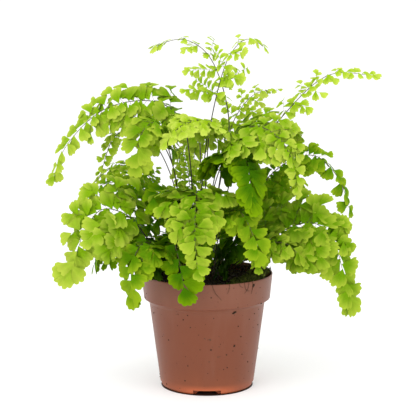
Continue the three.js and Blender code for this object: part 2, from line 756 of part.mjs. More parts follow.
// Turns or shrinks a leaflet until it is clear, and says whether it found a place.
function settle(frond, strand, leaflet) {
  const plain = leaflet.turn;
  for (const size of SIZES) {
    for (const turn of TURNS) {
      leaflet.size = size;
      leaflet.turn = plain + turn;
      const guard = guarded(strand.leafletBody(leaflet, BLADE + 2 * CLEARANCE), frond);
      const clear = taken.every((other) => {
        const apart = other.strand === strand || !other.box.intersectsBox(guard.box);
        return apart || !meets(other, guard);
      });
      if (clear) {
        taken.push(guard);
        return true;
      }
    }
  }
  return false;
}

plants.forEach(({ frond, strands }) => {
  strands.forEach((strand) => {
    strand.branches = strand.branches.filter((branch) => branch.strand || settle(frond, strand, branch));
  });
});

const fern = new THREE.Group();
fern.add(meshOf("pot", pot, POT_COLOUR, POT_ROUGHNESS));

let bed = soil;
plants.forEach(({ frond, axis, strands }) => {
  const body = tube(axis, frond.from, STEM_RADIUS).add(strands[0].body(BLADE));
  bed = bed.subtract(tube(axis, frond.from, STEM_RADIUS + 2 * GAP));
  fern.add(meshOf(frond.name, body, LEAF_TONES[frond.tone], LEAF_ROUGHNESS));
});
fern.add(meshOf("soil", bed, SOIL_COLOUR, SOIL_ROUGHNESS));

export default fern;
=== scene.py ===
"""Looks of a potted maidenhair fern: fine fronds, moulded pot, soil with crumbs and moss, light and camera.

Lengths in the tables are millimetres, as in the part's source. Every mesh is in metres, in the part's frame.
"""
import logging
import math
from dataclasses import dataclass, field
from enum import Enum
from typing import Any, Callable, ClassVar, Iterable, Sequence

import bmesh
import bpy
import numpy as np
from bpy.types import Collection, Material, Mesh, Node, NodeSocket, NodeTree, Object
from mathutils import Euler, Matrix, Vector


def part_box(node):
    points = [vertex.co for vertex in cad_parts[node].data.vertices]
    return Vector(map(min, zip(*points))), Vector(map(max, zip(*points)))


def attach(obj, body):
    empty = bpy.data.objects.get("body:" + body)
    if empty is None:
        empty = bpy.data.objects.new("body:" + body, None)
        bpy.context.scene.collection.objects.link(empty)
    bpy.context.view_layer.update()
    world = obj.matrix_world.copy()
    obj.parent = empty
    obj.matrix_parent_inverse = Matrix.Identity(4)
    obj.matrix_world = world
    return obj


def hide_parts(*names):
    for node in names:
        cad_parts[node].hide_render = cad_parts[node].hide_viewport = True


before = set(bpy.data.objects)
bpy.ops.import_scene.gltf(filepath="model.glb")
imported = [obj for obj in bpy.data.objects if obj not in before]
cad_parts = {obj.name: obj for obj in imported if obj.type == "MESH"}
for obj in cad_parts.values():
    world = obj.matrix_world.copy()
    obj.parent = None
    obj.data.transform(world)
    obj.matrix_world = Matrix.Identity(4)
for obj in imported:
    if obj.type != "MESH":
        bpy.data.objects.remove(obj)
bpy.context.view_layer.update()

LOG = logging.getLogger("fern")
MM = 0.001
BODY = "root"
UP = np.array([0.0, 0.0, 1.0])

# Where the stems stand, as in the part's source.
CROWN = (-9.0, 2.0)
ROOT_TOP = 94.0
ROOT_DEPTH = 14.0

Colour = tuple[float, float, float]
Point = tuple[float, float, float]


class Tone(Enum):
    """How pale or dark a frond's leaflets are: partly their age, partly painted light and shade for how lit
    each frond stands; the value names their material.
    """

    PALE = "leaf_fresh_pale"
    FRESH = "leaf_fresh"
    GREEN = "leaf_green"
    FULL = "leaf_green_full"
    DEEP = "leaf_deep"
    # Painted shade for the inner fronds that stand in the plant's shade.
    DARK = "leaf_deep_dark"

    @property
    def slot(self) -> str:
        """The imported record's slot, which a tone between two slots shares with its neighbour."""
        return {Tone.PALE: Tone.FRESH, Tone.FULL: Tone.GREEN, Tone.DARK: Tone.DEEP}.get(self, self).value


@dataclass(frozen=True)
class FrondPlan:
    """One frond: where its root stands, its leaflets, its blade and the path of its stem.

    Attributes:
        name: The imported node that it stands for.
        at: The angle of its root round the crown, in degrees.
        ring: The distance of its root from the crown's middle.
        leaf: The length of its leaflets at the blade's foot.
        start: The share of the stem below the blade.
        pinna: The length of its longest side pinna.
        roll: The blade's roll about its rib at its foot and at its tip, in degrees.
        tone: The tone of its leaflets.
        path: The points that its stem passes above the soil.
        tip: The length of the leaflets at the blade's tip, as a share of that at its foot.
        zone: The share of the blade that bears side pinnae.
        airy: How widely its leaflets stand apart, where 1 is usual.
        gap: How widely its side pinnae stand apart, where 1 is usual.
    """

    name: str
    at: float
    ring: float
    leaf: float
    start: float
    pinna: float
    roll: tuple[float, float]
    tone: Tone
    path: tuple[Point, ...]
    tip: float = 0.6
    zone: float = 0.9
    airy: float = 1.0
    gap: float = 1.0


FRONDS = (
    FrondPlan("frond_tall_left", 20, 8, 11, 0.63, 50, (36, 22), Tone.PALE,
              ((12, 12, 190), (20, 15, 243), (1, 20, 302), (-22, 20, 316), (-53, 15, 308)),
              tip=0.85, zone=0.78, airy=1.15, gap=2.6),
    FrondPlan("frond_tall_right", 300, 5, 11.5, 0.68, 46, (-34, -20), Tone.PALE,
              ((-1, -2, 190), (4, 0, 245), (22, 0, 305), (37, 0, 317), (56, -5, 306)),
              tip=0.85, zone=0.84, airy=1.15, gap=2.4),
    FrondPlan("frond_far_right", 10, 13, 13, 0.56, 25, (-32, -38), Tone.PALE,
              ((38, 15, 202), (69, 20, 246), (112, 20, 284), (157, 10, 283)),
              tip=0.55, zone=0.85, airy=1.3, gap=1.6),
    FrondPlan("frond_tall_back", 60, 12, 10.5, 0.66, 32, (-25, -20), Tone.PALE,
              ((14, 45, 190), (26, 60, 240), (46, 62, 264), (72, 60, 268)),
              tip=0.5, zone=0.9, airy=1.2, gap=1.6),
    FrondPlan("frond_left_high", 200, 5, 18.5, 0.52, 23, (54, 60), Tone.FRESH,
              ((-15, -5, 205), (-24, -10, 247), (-46, -15, 262), (-90, -20, 256), (-127, -20, 220),
               (-138, -20, 187)), tip=0.6, zone=0.86),
    FrondPlan("frond_left_high_front", 215, 11, 17, 0.62, 26, (25, 35), Tone.GREEN,
              ((-30, -26, 205), (-44, -47, 246), (-55, -58, 240), (-62, -62, 203)), tip=0.9, zone=0.8),
    FrondPlan("frond_left_high_back", 175, 13, 15, 0.66, 24, (40, 50), Tone.PALE,
              ((-32, 5, 205), (-54, 12, 238), (-76, 12, 250), (-98, 6, 246)), tip=0.75, zone=0.9),
    FrondPlan("frond_left_mid", 185, 18, 12.5, 0.42, 22, (50, 62), Tone.FULL,
              ((-36, -2, 154), (-58, -6, 181), (-82, -8, 189), (-104, -10, 181), (-112, -12, 162)),
              tip=0.75, zone=0.85, airy=1.25),
    FrondPlan("frond_left_mid_back", 150, 18, 10, 0.56, 18, (30, 35), Tone.FRESH,
              ((-34, 26, 150), (-54, 38, 188), (-84, 44, 198), (-114, 45, 174)), tip=0.6, zone=0.8, airy=1.2),
    FrondPlan("frond_left_low", 205, 19, 20, 0.42, 36, (66, 70), Tone.FRESH,
              ((-51, -28, 138), (-72, -42, 165), (-92, -48, 170), (-107, -50, 152), (-114, -50, 132),
               (-124, -50, 102)), tip=0.85, zone=0.84, airy=0.85),
    FrondPlan("frond_left_front_low", 225, 16, 19, 0.45, 28, (10, 16), Tone.FULL,
              ((-36, -30, 128), (-54, -50, 141), (-64, -62, 128), (-64, -67, 88)),
              tip=0.95, zone=0.86, airy=0.9),
    FrondPlan("frond_front_low", 250, 17, 17, 0.24, 24, (0, 0), Tone.DEEP,
              ((-24, -34, 134), (-30, -54, 146), (-25, -68, 132), (-17, -76, 92)),
              tip=1.05, zone=0.5, airy=1.15),
    FrondPlan("frond_front_left_mid", 228, 8, 16, 0.34, 38, (35, 30), Tone.DEEP,
              ((-22, -20, 150), (-31, -34, 180), (-43, -46, 184), (-53, -54, 170)),
              tip=0.85, zone=0.85, airy=0.95),
    FrondPlan("frond_front_centre", 262, 9, 18.5, 0.42, 41, (0, 0), Tone.GREEN,
              ((-9, -30, 165), (-9, -56, 187), (-10, -76, 174), (-10, -91, 148), (-7, -99, 118)),
              tip=0.6, zone=0.86),
    FrondPlan("frond_top_front", 275, 3, 13, 0.62, 36, (10, 10), Tone.PALE,
              ((-4, -12, 195), (0, -22, 236), (-6, -44, 248), (-24, -60, 243), (-38, -70, 226)), tip=0.7),
    FrondPlan("frond_centre_right_high", 292, 12, 21, 0.56, 26, (-10, -10), Tone.DEEP,
              ((4, -28, 178), (19, -48, 218), (33, -64, 216), (37, -72, 198), (36, -76, 170)),
              tip=0.8, zone=0.7, airy=0.6),
    FrondPlan("frond_centre_right_low", 312, 18, 17, 0.34, 40, (-25, -25), Tone.FULL,
              ((12, -34, 148), (25, -57, 172), (36, -72, 160), (46, -83, 129)), tip=0.85, zone=0.8),
    FrondPlan("frond_right_high_front", 330, 8, 19, 0.54, 40, (-30, -35), Tone.FRESH,
              ((5, -14, 185), (18, -32, 226), (42, -48, 243), (63, -62, 233), (74, -70, 211), (77, -72, 182)),
              tip=0.4, zone=0.82),
    FrondPlan("frond_right_mid", 350, 17, 14, 0.42, 24, (-42, -54), Tone.FULL,
              ((36, 6, 165), (70, 10, 203), (98, 10, 211), (120, 2, 190), (131, -5, 155)),
              tip=0.95, zone=0.8),
    FrondPlan("frond_right_back", 20, 20, 16, 0.3, 36, (-35, -40), Tone.GREEN,
              ((36, 22, 150), (62, 32, 182), (86, 34, 184), (99, 30, 150)), tip=0.8, zone=0.8),
    FrondPlan("frond_right_low_inner", 332, 19, 16, 0.5, 30, (-30, -40), Tone.GREEN,
              ((28, -28, 120), (50, -42, 138), (70, -52, 140), (86, -58, 124)), tip=0.8, zone=0.85),
    FrondPlan("frond_right_low", 343, 23, 22, 0.34, 36, (-60, -66), Tone.GREEN,
              ((38, -16, 122), (66, -28, 147), (96, -38, 156), (114, -42, 134), (121, -42, 110),
               (128, -42, 76)), tip=0.8, zone=0.84, airy=0.8),
    FrondPlan("frond_inner_left", 210, 26, 16, 0.15, 32, (60, 65), Tone.DARK,
              ((-34, -22, 118), (-42, -34, 126), (-48, -42, 108)), tip=0.8, zone=0.9, airy=0.85),
    FrondPlan("frond_inner_right", 318, 26, 17, 0.15, 32, (-60, -65), Tone.DARK,
              ((16, -27, 126), (25, -36, 137), (34, -44, 131)), tip=0.8, zone=0.9, airy=0.8),
    FrondPlan("frond_back_centre", 100, 8, 10, 0.34, 30, (0, 0), Tone.FRESH,
              ((-13, 24, 150), (-18, 34, 193), (-24, 50, 212), (-32, 66, 206))),
    FrondPlan("frond_back_right_high", 42, 14, 14, 0.46, 34, (0, 0), Tone.FRESH,
              ((24, 36, 190), (48, 66, 228), (76, 92, 230), (98, 110, 182))),
    FrondPlan("frond_back_right_low", 40, 22, 17, 0.2, 36, (0, 0), Tone.GREEN,
              ((30, 38, 128), (56, 62, 150), (80, 84, 136), (90, 94, 96)), tip=0.8, zone=0.8, airy=1.15),
    FrondPlan("frond_back_high", 85, 12, 14, 0.58, 34, (0, 0), Tone.FRESH,
              ((-6, 44, 195), (-8, 78, 234), (-10, 110, 226), (-14, 130, 180)), tip=0.6),
    FrondPlan("frond_back_low", 92, 21, 17, 0.2, 36, (0, 0), Tone.GREEN,
              ((-12, 50, 130), (-14, 80, 150), (-16, 104, 132), (-16, 112, 92)),
              tip=0.8, zone=0.8, airy=1.15),
    FrondPlan("frond_back_left_high", 128, 13, 11, 0.76, 10, (0, 0), Tone.PALE,
              ((-34, 38, 190), (-60, 68, 226), (-88, 92, 222), (-108, 108, 172)),
              tip=0.7, zone=0.5, airy=1.1),
    FrondPlan("frond_back_left_low", 138, 23, 17, 0.2, 36, (0, 0), Tone.DEEP,
              ((-48, 36, 126), (-72, 58, 144), (-92, 78, 128), (-98, 86, 92)), tip=0.8, zone=0.8, airy=1.15),
    FrondPlan("frond_left_back_low", 168, 23, 17, 0.2, 34, (15, 25), Tone.DEEP,
              ((-54, 16, 126), (-80, 26, 142), (-100, 32, 126), (-106, 34, 96)),
              tip=0.8, zone=0.8, airy=1.15),
)


def socket_named(sockets: Iterable[NodeSocket], name: str) -> NodeSocket:
    """Finds the live socket of a name; a node that works on several kinds of value has it once for each.

    Args:
        sockets: A node's inputs or outputs.
        name: The socket's label.

    Returns:
        The first enabled socket with that label.
    """
    return next(socket for socket in sockets if socket.name == name and socket.enabled)


class Tree:
    """Builds a node tree, one node after another."""

    def __init__(self, tree: NodeTree) -> None:
        """Takes over a tree and empties it."""
        self.tree = tree
        self.tree.nodes.clear()

    def add(self, kind: str, settings: dict[str, Any] | None = None, **inputs: Any) -> Node:
        """Adds a node, sets it up and feeds its inputs.

        Args:
            kind: The node's type name.
            settings: The node's own properties.
            **inputs: Socket labels, with an underscore for a space, and a value or a socket for each.

        Returns:
            The new node.
        """
        node = self.tree.nodes.new(kind)
        node.location = (190 * len(self.tree.nodes), 0)
        for name, value in (settings or {}).items():
            setattr(node, name, value)
        for name, value in inputs.items():
            self.feed(socket_named(node.inputs, name.replace("_", " ")), value)
        return node

    def feed(self, socket: NodeSocket, value: Any) -> None:
        """Links a socket to another, or gives it a value.

        Args:
            socket: The socket to feed.
            value: A socket or a value.
        """
        if isinstance(value, NodeSocket):
            self.tree.links.new(value, socket)
        else:
            socket.default_value = value

    def out(self, node: Node, name: str | None = None) -> NodeSocket:
        """The live output of a node with a label, or its first live output.

        Args:
            node: The node.
            name: The output's label, or None for the first.

        Returns:
            The output.
        """
        if name is None:
            return next(socket for socket in node.outputs if socket.enabled)
        return socket_named(node.outputs, name)

    def math(self, operation: str, *values: Any) -> NodeSocket:
        """Adds a Math node on up to three values or sockets, and gives its result.

        Args:
            operation: The operation's name.
            *values: Its values or sockets.

        Returns:
            The result.
        """
        node = self.tree.nodes.new("ShaderNodeMath")
        node.operation = operation
        node.location = (190 * len(self.tree.nodes), -200)
        for socket, value in zip(node.inputs, values):
            self.feed(socket, value)
        return node.outputs[0]

    def ramp(self, value: Any, low: float, high: float) -> NodeSocket:
        """A smooth step from 0 at low to 1 at high.

        Args:
            value: The value that the step follows.
            low: Where the step begins.
            high: Where it ends.

        Returns:
            The step's result.
        """
        node = self.add("ShaderNodeMapRange", {"interpolation_type": "SMOOTHSTEP"}, Value=value)
        node.inputs["From Min"].default_value = low
        node.inputs["From Max"].default_value = high
        return self.out(node, "Result")

    def mix(self, factor: Any, first: Any, second: Any, blend: str = "MIX") -> NodeSocket:
        """Mixes two colours by a factor and gives the colour.

        Args:
            factor: The share of the second colour.
            first: A colour or a socket.
            second: A colour or a socket.
            blend: How the second goes over the first.

        Returns:
            The mixed colour.
        """
        node = self.add("ShaderNodeMix", {"data_type": "RGBA", "blend_type": blend}, Factor=factor)
        for name, value in (("A", first), ("B", second)):
            colour = (*value, 1.0) if isinstance(value, tuple) else value
            self.feed(socket_named(node.inputs, name), colour)
        return self.out(node, "Result")

    def noise(self, place: Any, scale: float, detail: float, rough: float) -> NodeSocket:
        """Noise from 0 to 1 at a place, with so many bumps a metre."""
        node = self.add("ShaderNodeTexNoise", None, Vector=place, Scale=scale, Detail=detail, Roughness=rough)
        return self.out(node)

    def place(self) -> NodeSocket:
        """The place of a point on the surface, in metres in the part's frame."""
        return self.out(self.add("ShaderNodeTexCoord"), "Object")

    def tint(self) -> NodeSocket:
        """The tint that the piece's geometry holds."""
        return self.out(self.add("ShaderNodeAttribute", {"attribute_name": "tint"}), "Fac")

    def emboss(self, shader: Node, relief: Any, strength: float, depth: float) -> None:
        """Gives a shader a relief, with its depth in millimetres."""
        bump = self.add("ShaderNodeBump", None, Height=relief, Strength=strength, Distance=depth * MM)
        self.feed(shader.inputs["Normal"], bump.outputs["Normal"])


def new_material(name: str) -> tuple[Material, Tree, Node]:
    """Starts a material with one Principled shader.

    Args:
        name: The material's name.

    Returns:
        The material, its tree and the shader node.
    """
    material = bpy.data.materials.new(name)
    material.use_nodes = True
    tree = Tree(material.node_tree)
    shader = tree.add("ShaderNodeBsdfPrincipled")
    output = tree.add("ShaderNodeOutputMaterial")
    tree.feed(output.inputs["Surface"], shader.outputs["BSDF"])
    return material, tree, shader


@dataclass(frozen=True)
class LeafFinish:
    """Thin living leaf: radiating veins, a paler edge, painted shade by the stalk and on leaflets of low
    tint, and light that comes through it.

    Attributes:
        tone: The tone that names the material.
        heart: The colour by the stalk, darker there partly as painted shade where leaflets overlap, and the
            colour that painted shade multiplies into leaflets of low tint.
        edge: The colour of the outer edge, of the veins and of young leaflets.
        through: The colour of the light that comes through.
        share_through: The share of the light that comes through.
        roughness: The roughness of the surface.
        shine: The strength of its reflections.
        veins: The number of veins side by side below their fork, above which there are twice as many.
        vein_depth: The height of the veins.
        patches: How many patches of colour a metre has.
        mottle: How much the patches show.
        paling: How much paler the youngest leaflets are.
        painted_shade: How much painted shade darkens leaflets of low tint, such as those at a blade's foot
            inside the plant.
    """

    tone: Tone
    heart: Colour
    edge: Colour
    through: Colour
    share_through: float = 0.34
    roughness: float = 0.5
    shine: float = 0.02
    veins: float = 13.0
    vein_depth: float = 0.12
    patches: float = 95.0
    mottle: float = 0.28
    paling: float = 0.75
    painted_shade: float = 0.55

    def build(self) -> Material:
        """Makes the material: colour by the leaflet's own UV map and tint, veins in relief, translucence.

        Returns:
            The material.
        """
        material, tree, shader = new_material(self.tone.value)
        uv = tree.add("ShaderNodeSeparateXYZ", None, Vector=tree.out(tree.add("ShaderNodeUVMap"), "UV"))
        across, along = uv.outputs["X"], uv.outputs["Y"]
        tint = tree.tint()
        cloud = tree.noise(tree.place(), self.patches, 4.0, 0.6)
        fork = tree.ramp(along, 0.45, 0.6)
        turns = tree.math("MULTIPLY_ADD", fork, self.veins, self.veins)
        wave = tree.math("SINE", tree.math("MULTIPLY", tree.math("MULTIPLY", across, turns), 2 * math.pi))
        vein = tree.math("POWER", tree.math("MULTIPLY_ADD", wave, 0.5, 0.5), 4.0)
        # Darker towards the stalk and paler towards the edge: partly the leaflet's own colour, partly painted
        # shade where leaflets overlap by their stalks.
        outer = tree.ramp(tree.math("MULTIPLY_ADD", cloud, 0.3, along), 0.5, 1.3)
        colour = tree.mix(outer, self.heart, self.edge)
        colour = tree.mix(tree.math("MULTIPLY", vein, 0.25), colour, self.edge)
        young = tree.math("MULTIPLY", tree.ramp(tint, 0.0, 1.0), self.paling)
        colour = tree.mix(young, colour, self.edge)
        # Painted shade: leaflets of low tint get the heart colour multiplied in, darkest at the blades' feet
        # inside the plant.
        old = tree.math("MULTIPLY", tree.ramp(tree.math("MULTIPLY", tint, -1.0), 0.0, 1.0), self.painted_shade)
        colour = tree.mix(old, colour, self.heart, "MULTIPLY")
        patch = tree.math("MULTIPLY", tree.ramp(cloud, 0.35, 0.75), self.mottle)
        colour = tree.mix(patch, colour, self.heart)
        tree.feed(shader.inputs["Base Color"], colour)
        rough = tree.math("MULTIPLY_ADD", cloud, 0.2, self.roughness - 0.1)
        tree.feed(shader.inputs["Roughness"], rough)
        shader.inputs["Specular IOR Level"].default_value = self.shine
        relief = tree.math("ADD", vein, tree.math("MULTIPLY", cloud, 0.8))
        tree.emboss(shader, relief, 0.35, self.vein_depth)
        glow = tree.add("ShaderNodeBsdfTranslucent", None, Color=tree.mix(0.5, colour, self.through))
        both = tree.add("ShaderNodeMixShader")
        sources = (self.share_through, shader.outputs["BSDF"], glow.outputs["BSDF"])
        for socket, source in zip(both.inputs, sources):
            tree.feed(socket, source)
        output = next(node for node in tree.tree.nodes if node.type == "OUTPUT_MATERIAL")
        tree.feed(output.inputs["Surface"], both.outputs[0])
        return material


@dataclass(frozen=True)
class StemFinish:
    """Wiry, polished stem: nearly black, greener where it is young.

    Attributes:
        dark: The colour of an old stem.
        young: The colour of a young one.
        streaks: How many streaks a metre has.
        streak_depth: The depth of the streaks.
    """

    dark: Colour = (0.012, 0.006, 0.005)
    young: Colour = (0.14, 0.14, 0.02)
    streaks: float = 240.0
    streak_depth: float = 0.05

    def build(self) -> Material:
        """Makes the material.

        Returns:
            The material.
        """
        material, tree, shader = new_material("stem")
        streak = tree.noise(tree.place(), self.streaks, 3.0, 0.6)
        share = tree.math("MULTIPLY", tree.math("ADD", tree.tint(), tree.math("MULTIPLY", streak, 0.5)), 0.6)
        tree.feed(shader.inputs["Base Color"], tree.mix(share, self.dark, self.young))
        tree.feed(shader.inputs["Roughness"], tree.math("MULTIPLY_ADD", streak, 0.3, 0.2))
        tree.emboss(shader, streak, 0.2, self.streak_depth)
        return material


@dataclass(frozen=True)
class PotFinish:
    """Satin moulded plastic, dustier towards the rim and warmer towards the foot, with a painted glow at the
    very foot.

    Attributes:
        body: The colour of the wall.
        foot: The colour towards the foot.
        dust: The colour of the film of dust.
        glow: The colour at the very foot, which shows most in the middle.
        dirt: The colour of the flecks of dirt.
        shine: The strength of its reflections.
        smears: How many smears a metre has, side by side.
        smear_ratio: Their width as a share of their height.
        grains: How many grains a metre has.
        flecks: How many places for a fleck a metre has.
        relief_depth: The depth of the smears and the grain.
    """

    body: Colour = (0.185, 0.053, 0.024)
    foot: Colour = (0.24, 0.068, 0.028)
    dust: Colour = (0.23, 0.095, 0.06)
    # glow: The colour of a painted glow at the very foot, as if lit by light from the floor, which shows most
    # in the middle.
    glow: Colour = (0.5, 0.12, 0.045)
    dirt: Colour = (0.06, 0.035, 0.02)
    shine: float = 0.25
    smears: float = 38.0
    smear_ratio: float = 0.18
    grains: float = 900.0
    flecks: float = 310.0
    relief_depth: float = 0.06

    def build(self, height: float) -> Material:
        """Makes the material.

        Args:
            height: The pot's height in metres, which the colour follows.

        Returns:
            The material.
        """
        material, tree, shader = new_material("pot")
        place = tree.place()
        parts = tree.add("ShaderNodeSeparateXYZ", None, Vector=place)
        rise = tree.math("DIVIDE", parts.outputs["Z"], height)
        stretch = tree.add("ShaderNodeMapping", None, Vector=place, Scale=(1.0, 1.0, self.smear_ratio))
        smear = tree.noise(stretch.outputs["Vector"], self.smears, 4.0, 0.6)
        grain = tree.noise(place, self.grains, 2.0, 0.5)
        fleck = tree.noise(place, self.flecks, 2.0, 0.4)
        wavy = tree.math("MULTIPLY_ADD", smear, 0.3, rise)
        colour = tree.mix(tree.ramp(wavy, 0.05, 0.42), self.foot, self.body)
        for where, share in ((tree.ramp(wavy, 0.7, 1.15), 0.6), (tree.ramp(smear, 0.5, 0.8), 0.35)):
            colour = tree.mix(tree.math("MULTIPLY", where, share), colour, self.dust)
        # Painted glow: the very foot is coloured lighter and warmer as if lit from the floor, most where it
        # faces front and back.
        aside = tree.math("ABSOLUTE", parts.outputs["X"])
        near = tree.math("MULTIPLY_ADD", tree.ramp(aside, 0.008, 0.034), -0.75, 0.95)
        low = tree.math("SUBTRACT", 1.0, tree.ramp(rise, 0.03, 0.1))
        colour = tree.mix(tree.math("MULTIPLY", low, near), colour, self.glow)
        colour = tree.mix(tree.math("MULTIPLY", tree.ramp(fleck, 0.7, 0.78), 0.7), colour, self.dirt)
        tree.feed(shader.inputs["Base Color"], colour)
        shader.inputs["Specular IOR Level"].default_value = self.shine
        rough = tree.math("MULTIPLY_ADD", smear, 0.24, 0.24)
        tree.feed(shader.inputs["Roughness"], tree.math("MULTIPLY_ADD", grain, 0.06, rough))
        tree.emboss(shader, tree.math("MULTIPLY_ADD", smear, 3.0, grain), 0.2, self.relief_depth)
        return material


@dataclass(frozen=True)
class EarthFinish:
    """Crumbly matte matter in two colours, such as damp peat or moss.

    Attributes:
        name: The material's name.
        dark: The colour of its dark crumbs and hollows.
        light: The colour of its light crumbs.
        bumps: How many fine bumps a metre has.
        depth: The depth of its relief.
    """

    name: str
    dark: Colour
    light: Colour
    bumps: float = 700.0
    depth: float = 0.5

    def build(self) -> Material:
        """Makes the material.

        Returns:
            The material.
        """
        material, tree, shader = new_material(self.name)
        place = tree.place()
        coarse = tree.noise(place, self.bumps * 0.25, 5.0, 0.7)
        fine = tree.noise(place, self.bumps, 3.0, 0.6)
        light = tree.math("MULTIPLY", tree.ramp(coarse, 0.4, 0.75), 0.6)
        share = tree.math("MULTIPLY_ADD", tree.tint(), 0.6, light)
        tree.feed(shader.inputs["Base Color"], tree.mix(share, self.dark, self.light))
        shader.inputs["Roughness"].default_value = 0.92
        shader.inputs["Specular IOR Level"].default_value = 0.2
        tree.emboss(shader, tree.math("MULTIPLY_ADD", coarse, 2.0, fine), 0.8, self.depth)
        return material


def new_mesh(name: str, points: Iterable[Iterable[float]], edges: Sequence[tuple[int, ...]] = (),
             faces: Sequence[tuple[int, ...]] = ()) -> Mesh:
    """Makes a mesh.

    Args:
        name: Its name.
        points: Its points, in metres in the part's frame.
        edges: The two points that each edge joins.
        faces: The points round each face.

    Returns:
        The mesh.
    """
    mesh = bpy.data.meshes.new(name)
    mesh.from_pydata([tuple(map(float, point)) for point in points], edges, faces)
    return mesh


def mesh_of(form: bmesh.types.BMesh, name: str) -> Mesh:
    """Turns a form that was worked on into a mesh.

    Args:
        form: The form, which is freed.
        name: The mesh's name.

    Returns:
        The mesh.
    """
    mesh = bpy.data.meshes.new(name)
    form.to_mesh(mesh)
    form.free()
    return mesh


def mark_points(mesh: Mesh, name: str, values: Sequence[float]) -> None:
    """Gives every point of a mesh a value under a name."""
    mesh.attributes.new(name, "FLOAT", "POINT").data.foreach_set("value", np.array(values, np.float32))


def mesh_object(name: str, mesh: Mesh, linked: bool = True) -> Object:
    """Wraps a mesh in an object at the origin.

    Args:
        name: The object's name.
        mesh: Its mesh, in metres in the part's frame.
        linked: Whether it goes into the scene.

    Returns:
        The object.
    """
    made = bpy.data.objects.new(name, mesh)
    if linked:
        bpy.context.scene.collection.objects.link(made)
    return made


def apply_modifiers(piece: Object) -> None:
    """Replaces a piece's mesh by what its modifiers make of it, and removes them.

    Args:
        piece: The piece's object.
    """
    graph = bpy.context.evaluated_depsgraph_get()
    mesh = bpy.data.meshes.new_from_object(piece.evaluated_get(graph), depsgraph=graph)
    piece.modifiers.clear()
    before = piece.data
    piece.data = mesh
    mesh.name = piece.name
    bpy.data.meshes.remove(before)


def keep_sharp(mesh: Mesh, degrees: float) -> None:
    """Shades a mesh smooth, except across edges that turn more than an angle."""
    mesh.polygons.foreach_set("use_smooth", [True] * len(mesh.polygons))
    mesh.set_sharp_from_angle(angle=math.radians(degrees))


def hand_in(piece: Object, slot: str, *stands_for: str) -> None:
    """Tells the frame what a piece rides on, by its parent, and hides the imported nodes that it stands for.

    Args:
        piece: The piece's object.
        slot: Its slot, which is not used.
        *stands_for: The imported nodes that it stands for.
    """
    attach(piece, BODY)
    if stands_for:
        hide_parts(*stands_for)
    LOG.info("%s: %d faces", piece.name, len(piece.data.polygons))


class Socket(Enum):
    """What kind of input a rule takes; the value is the socket's type."""

    NUMBER = "NodeSocketFloat"
    COUNT = "NodeSocketInt"
    KINDS = "NodeSocketCollection"
    FINISH = "NodeSocketMaterial"


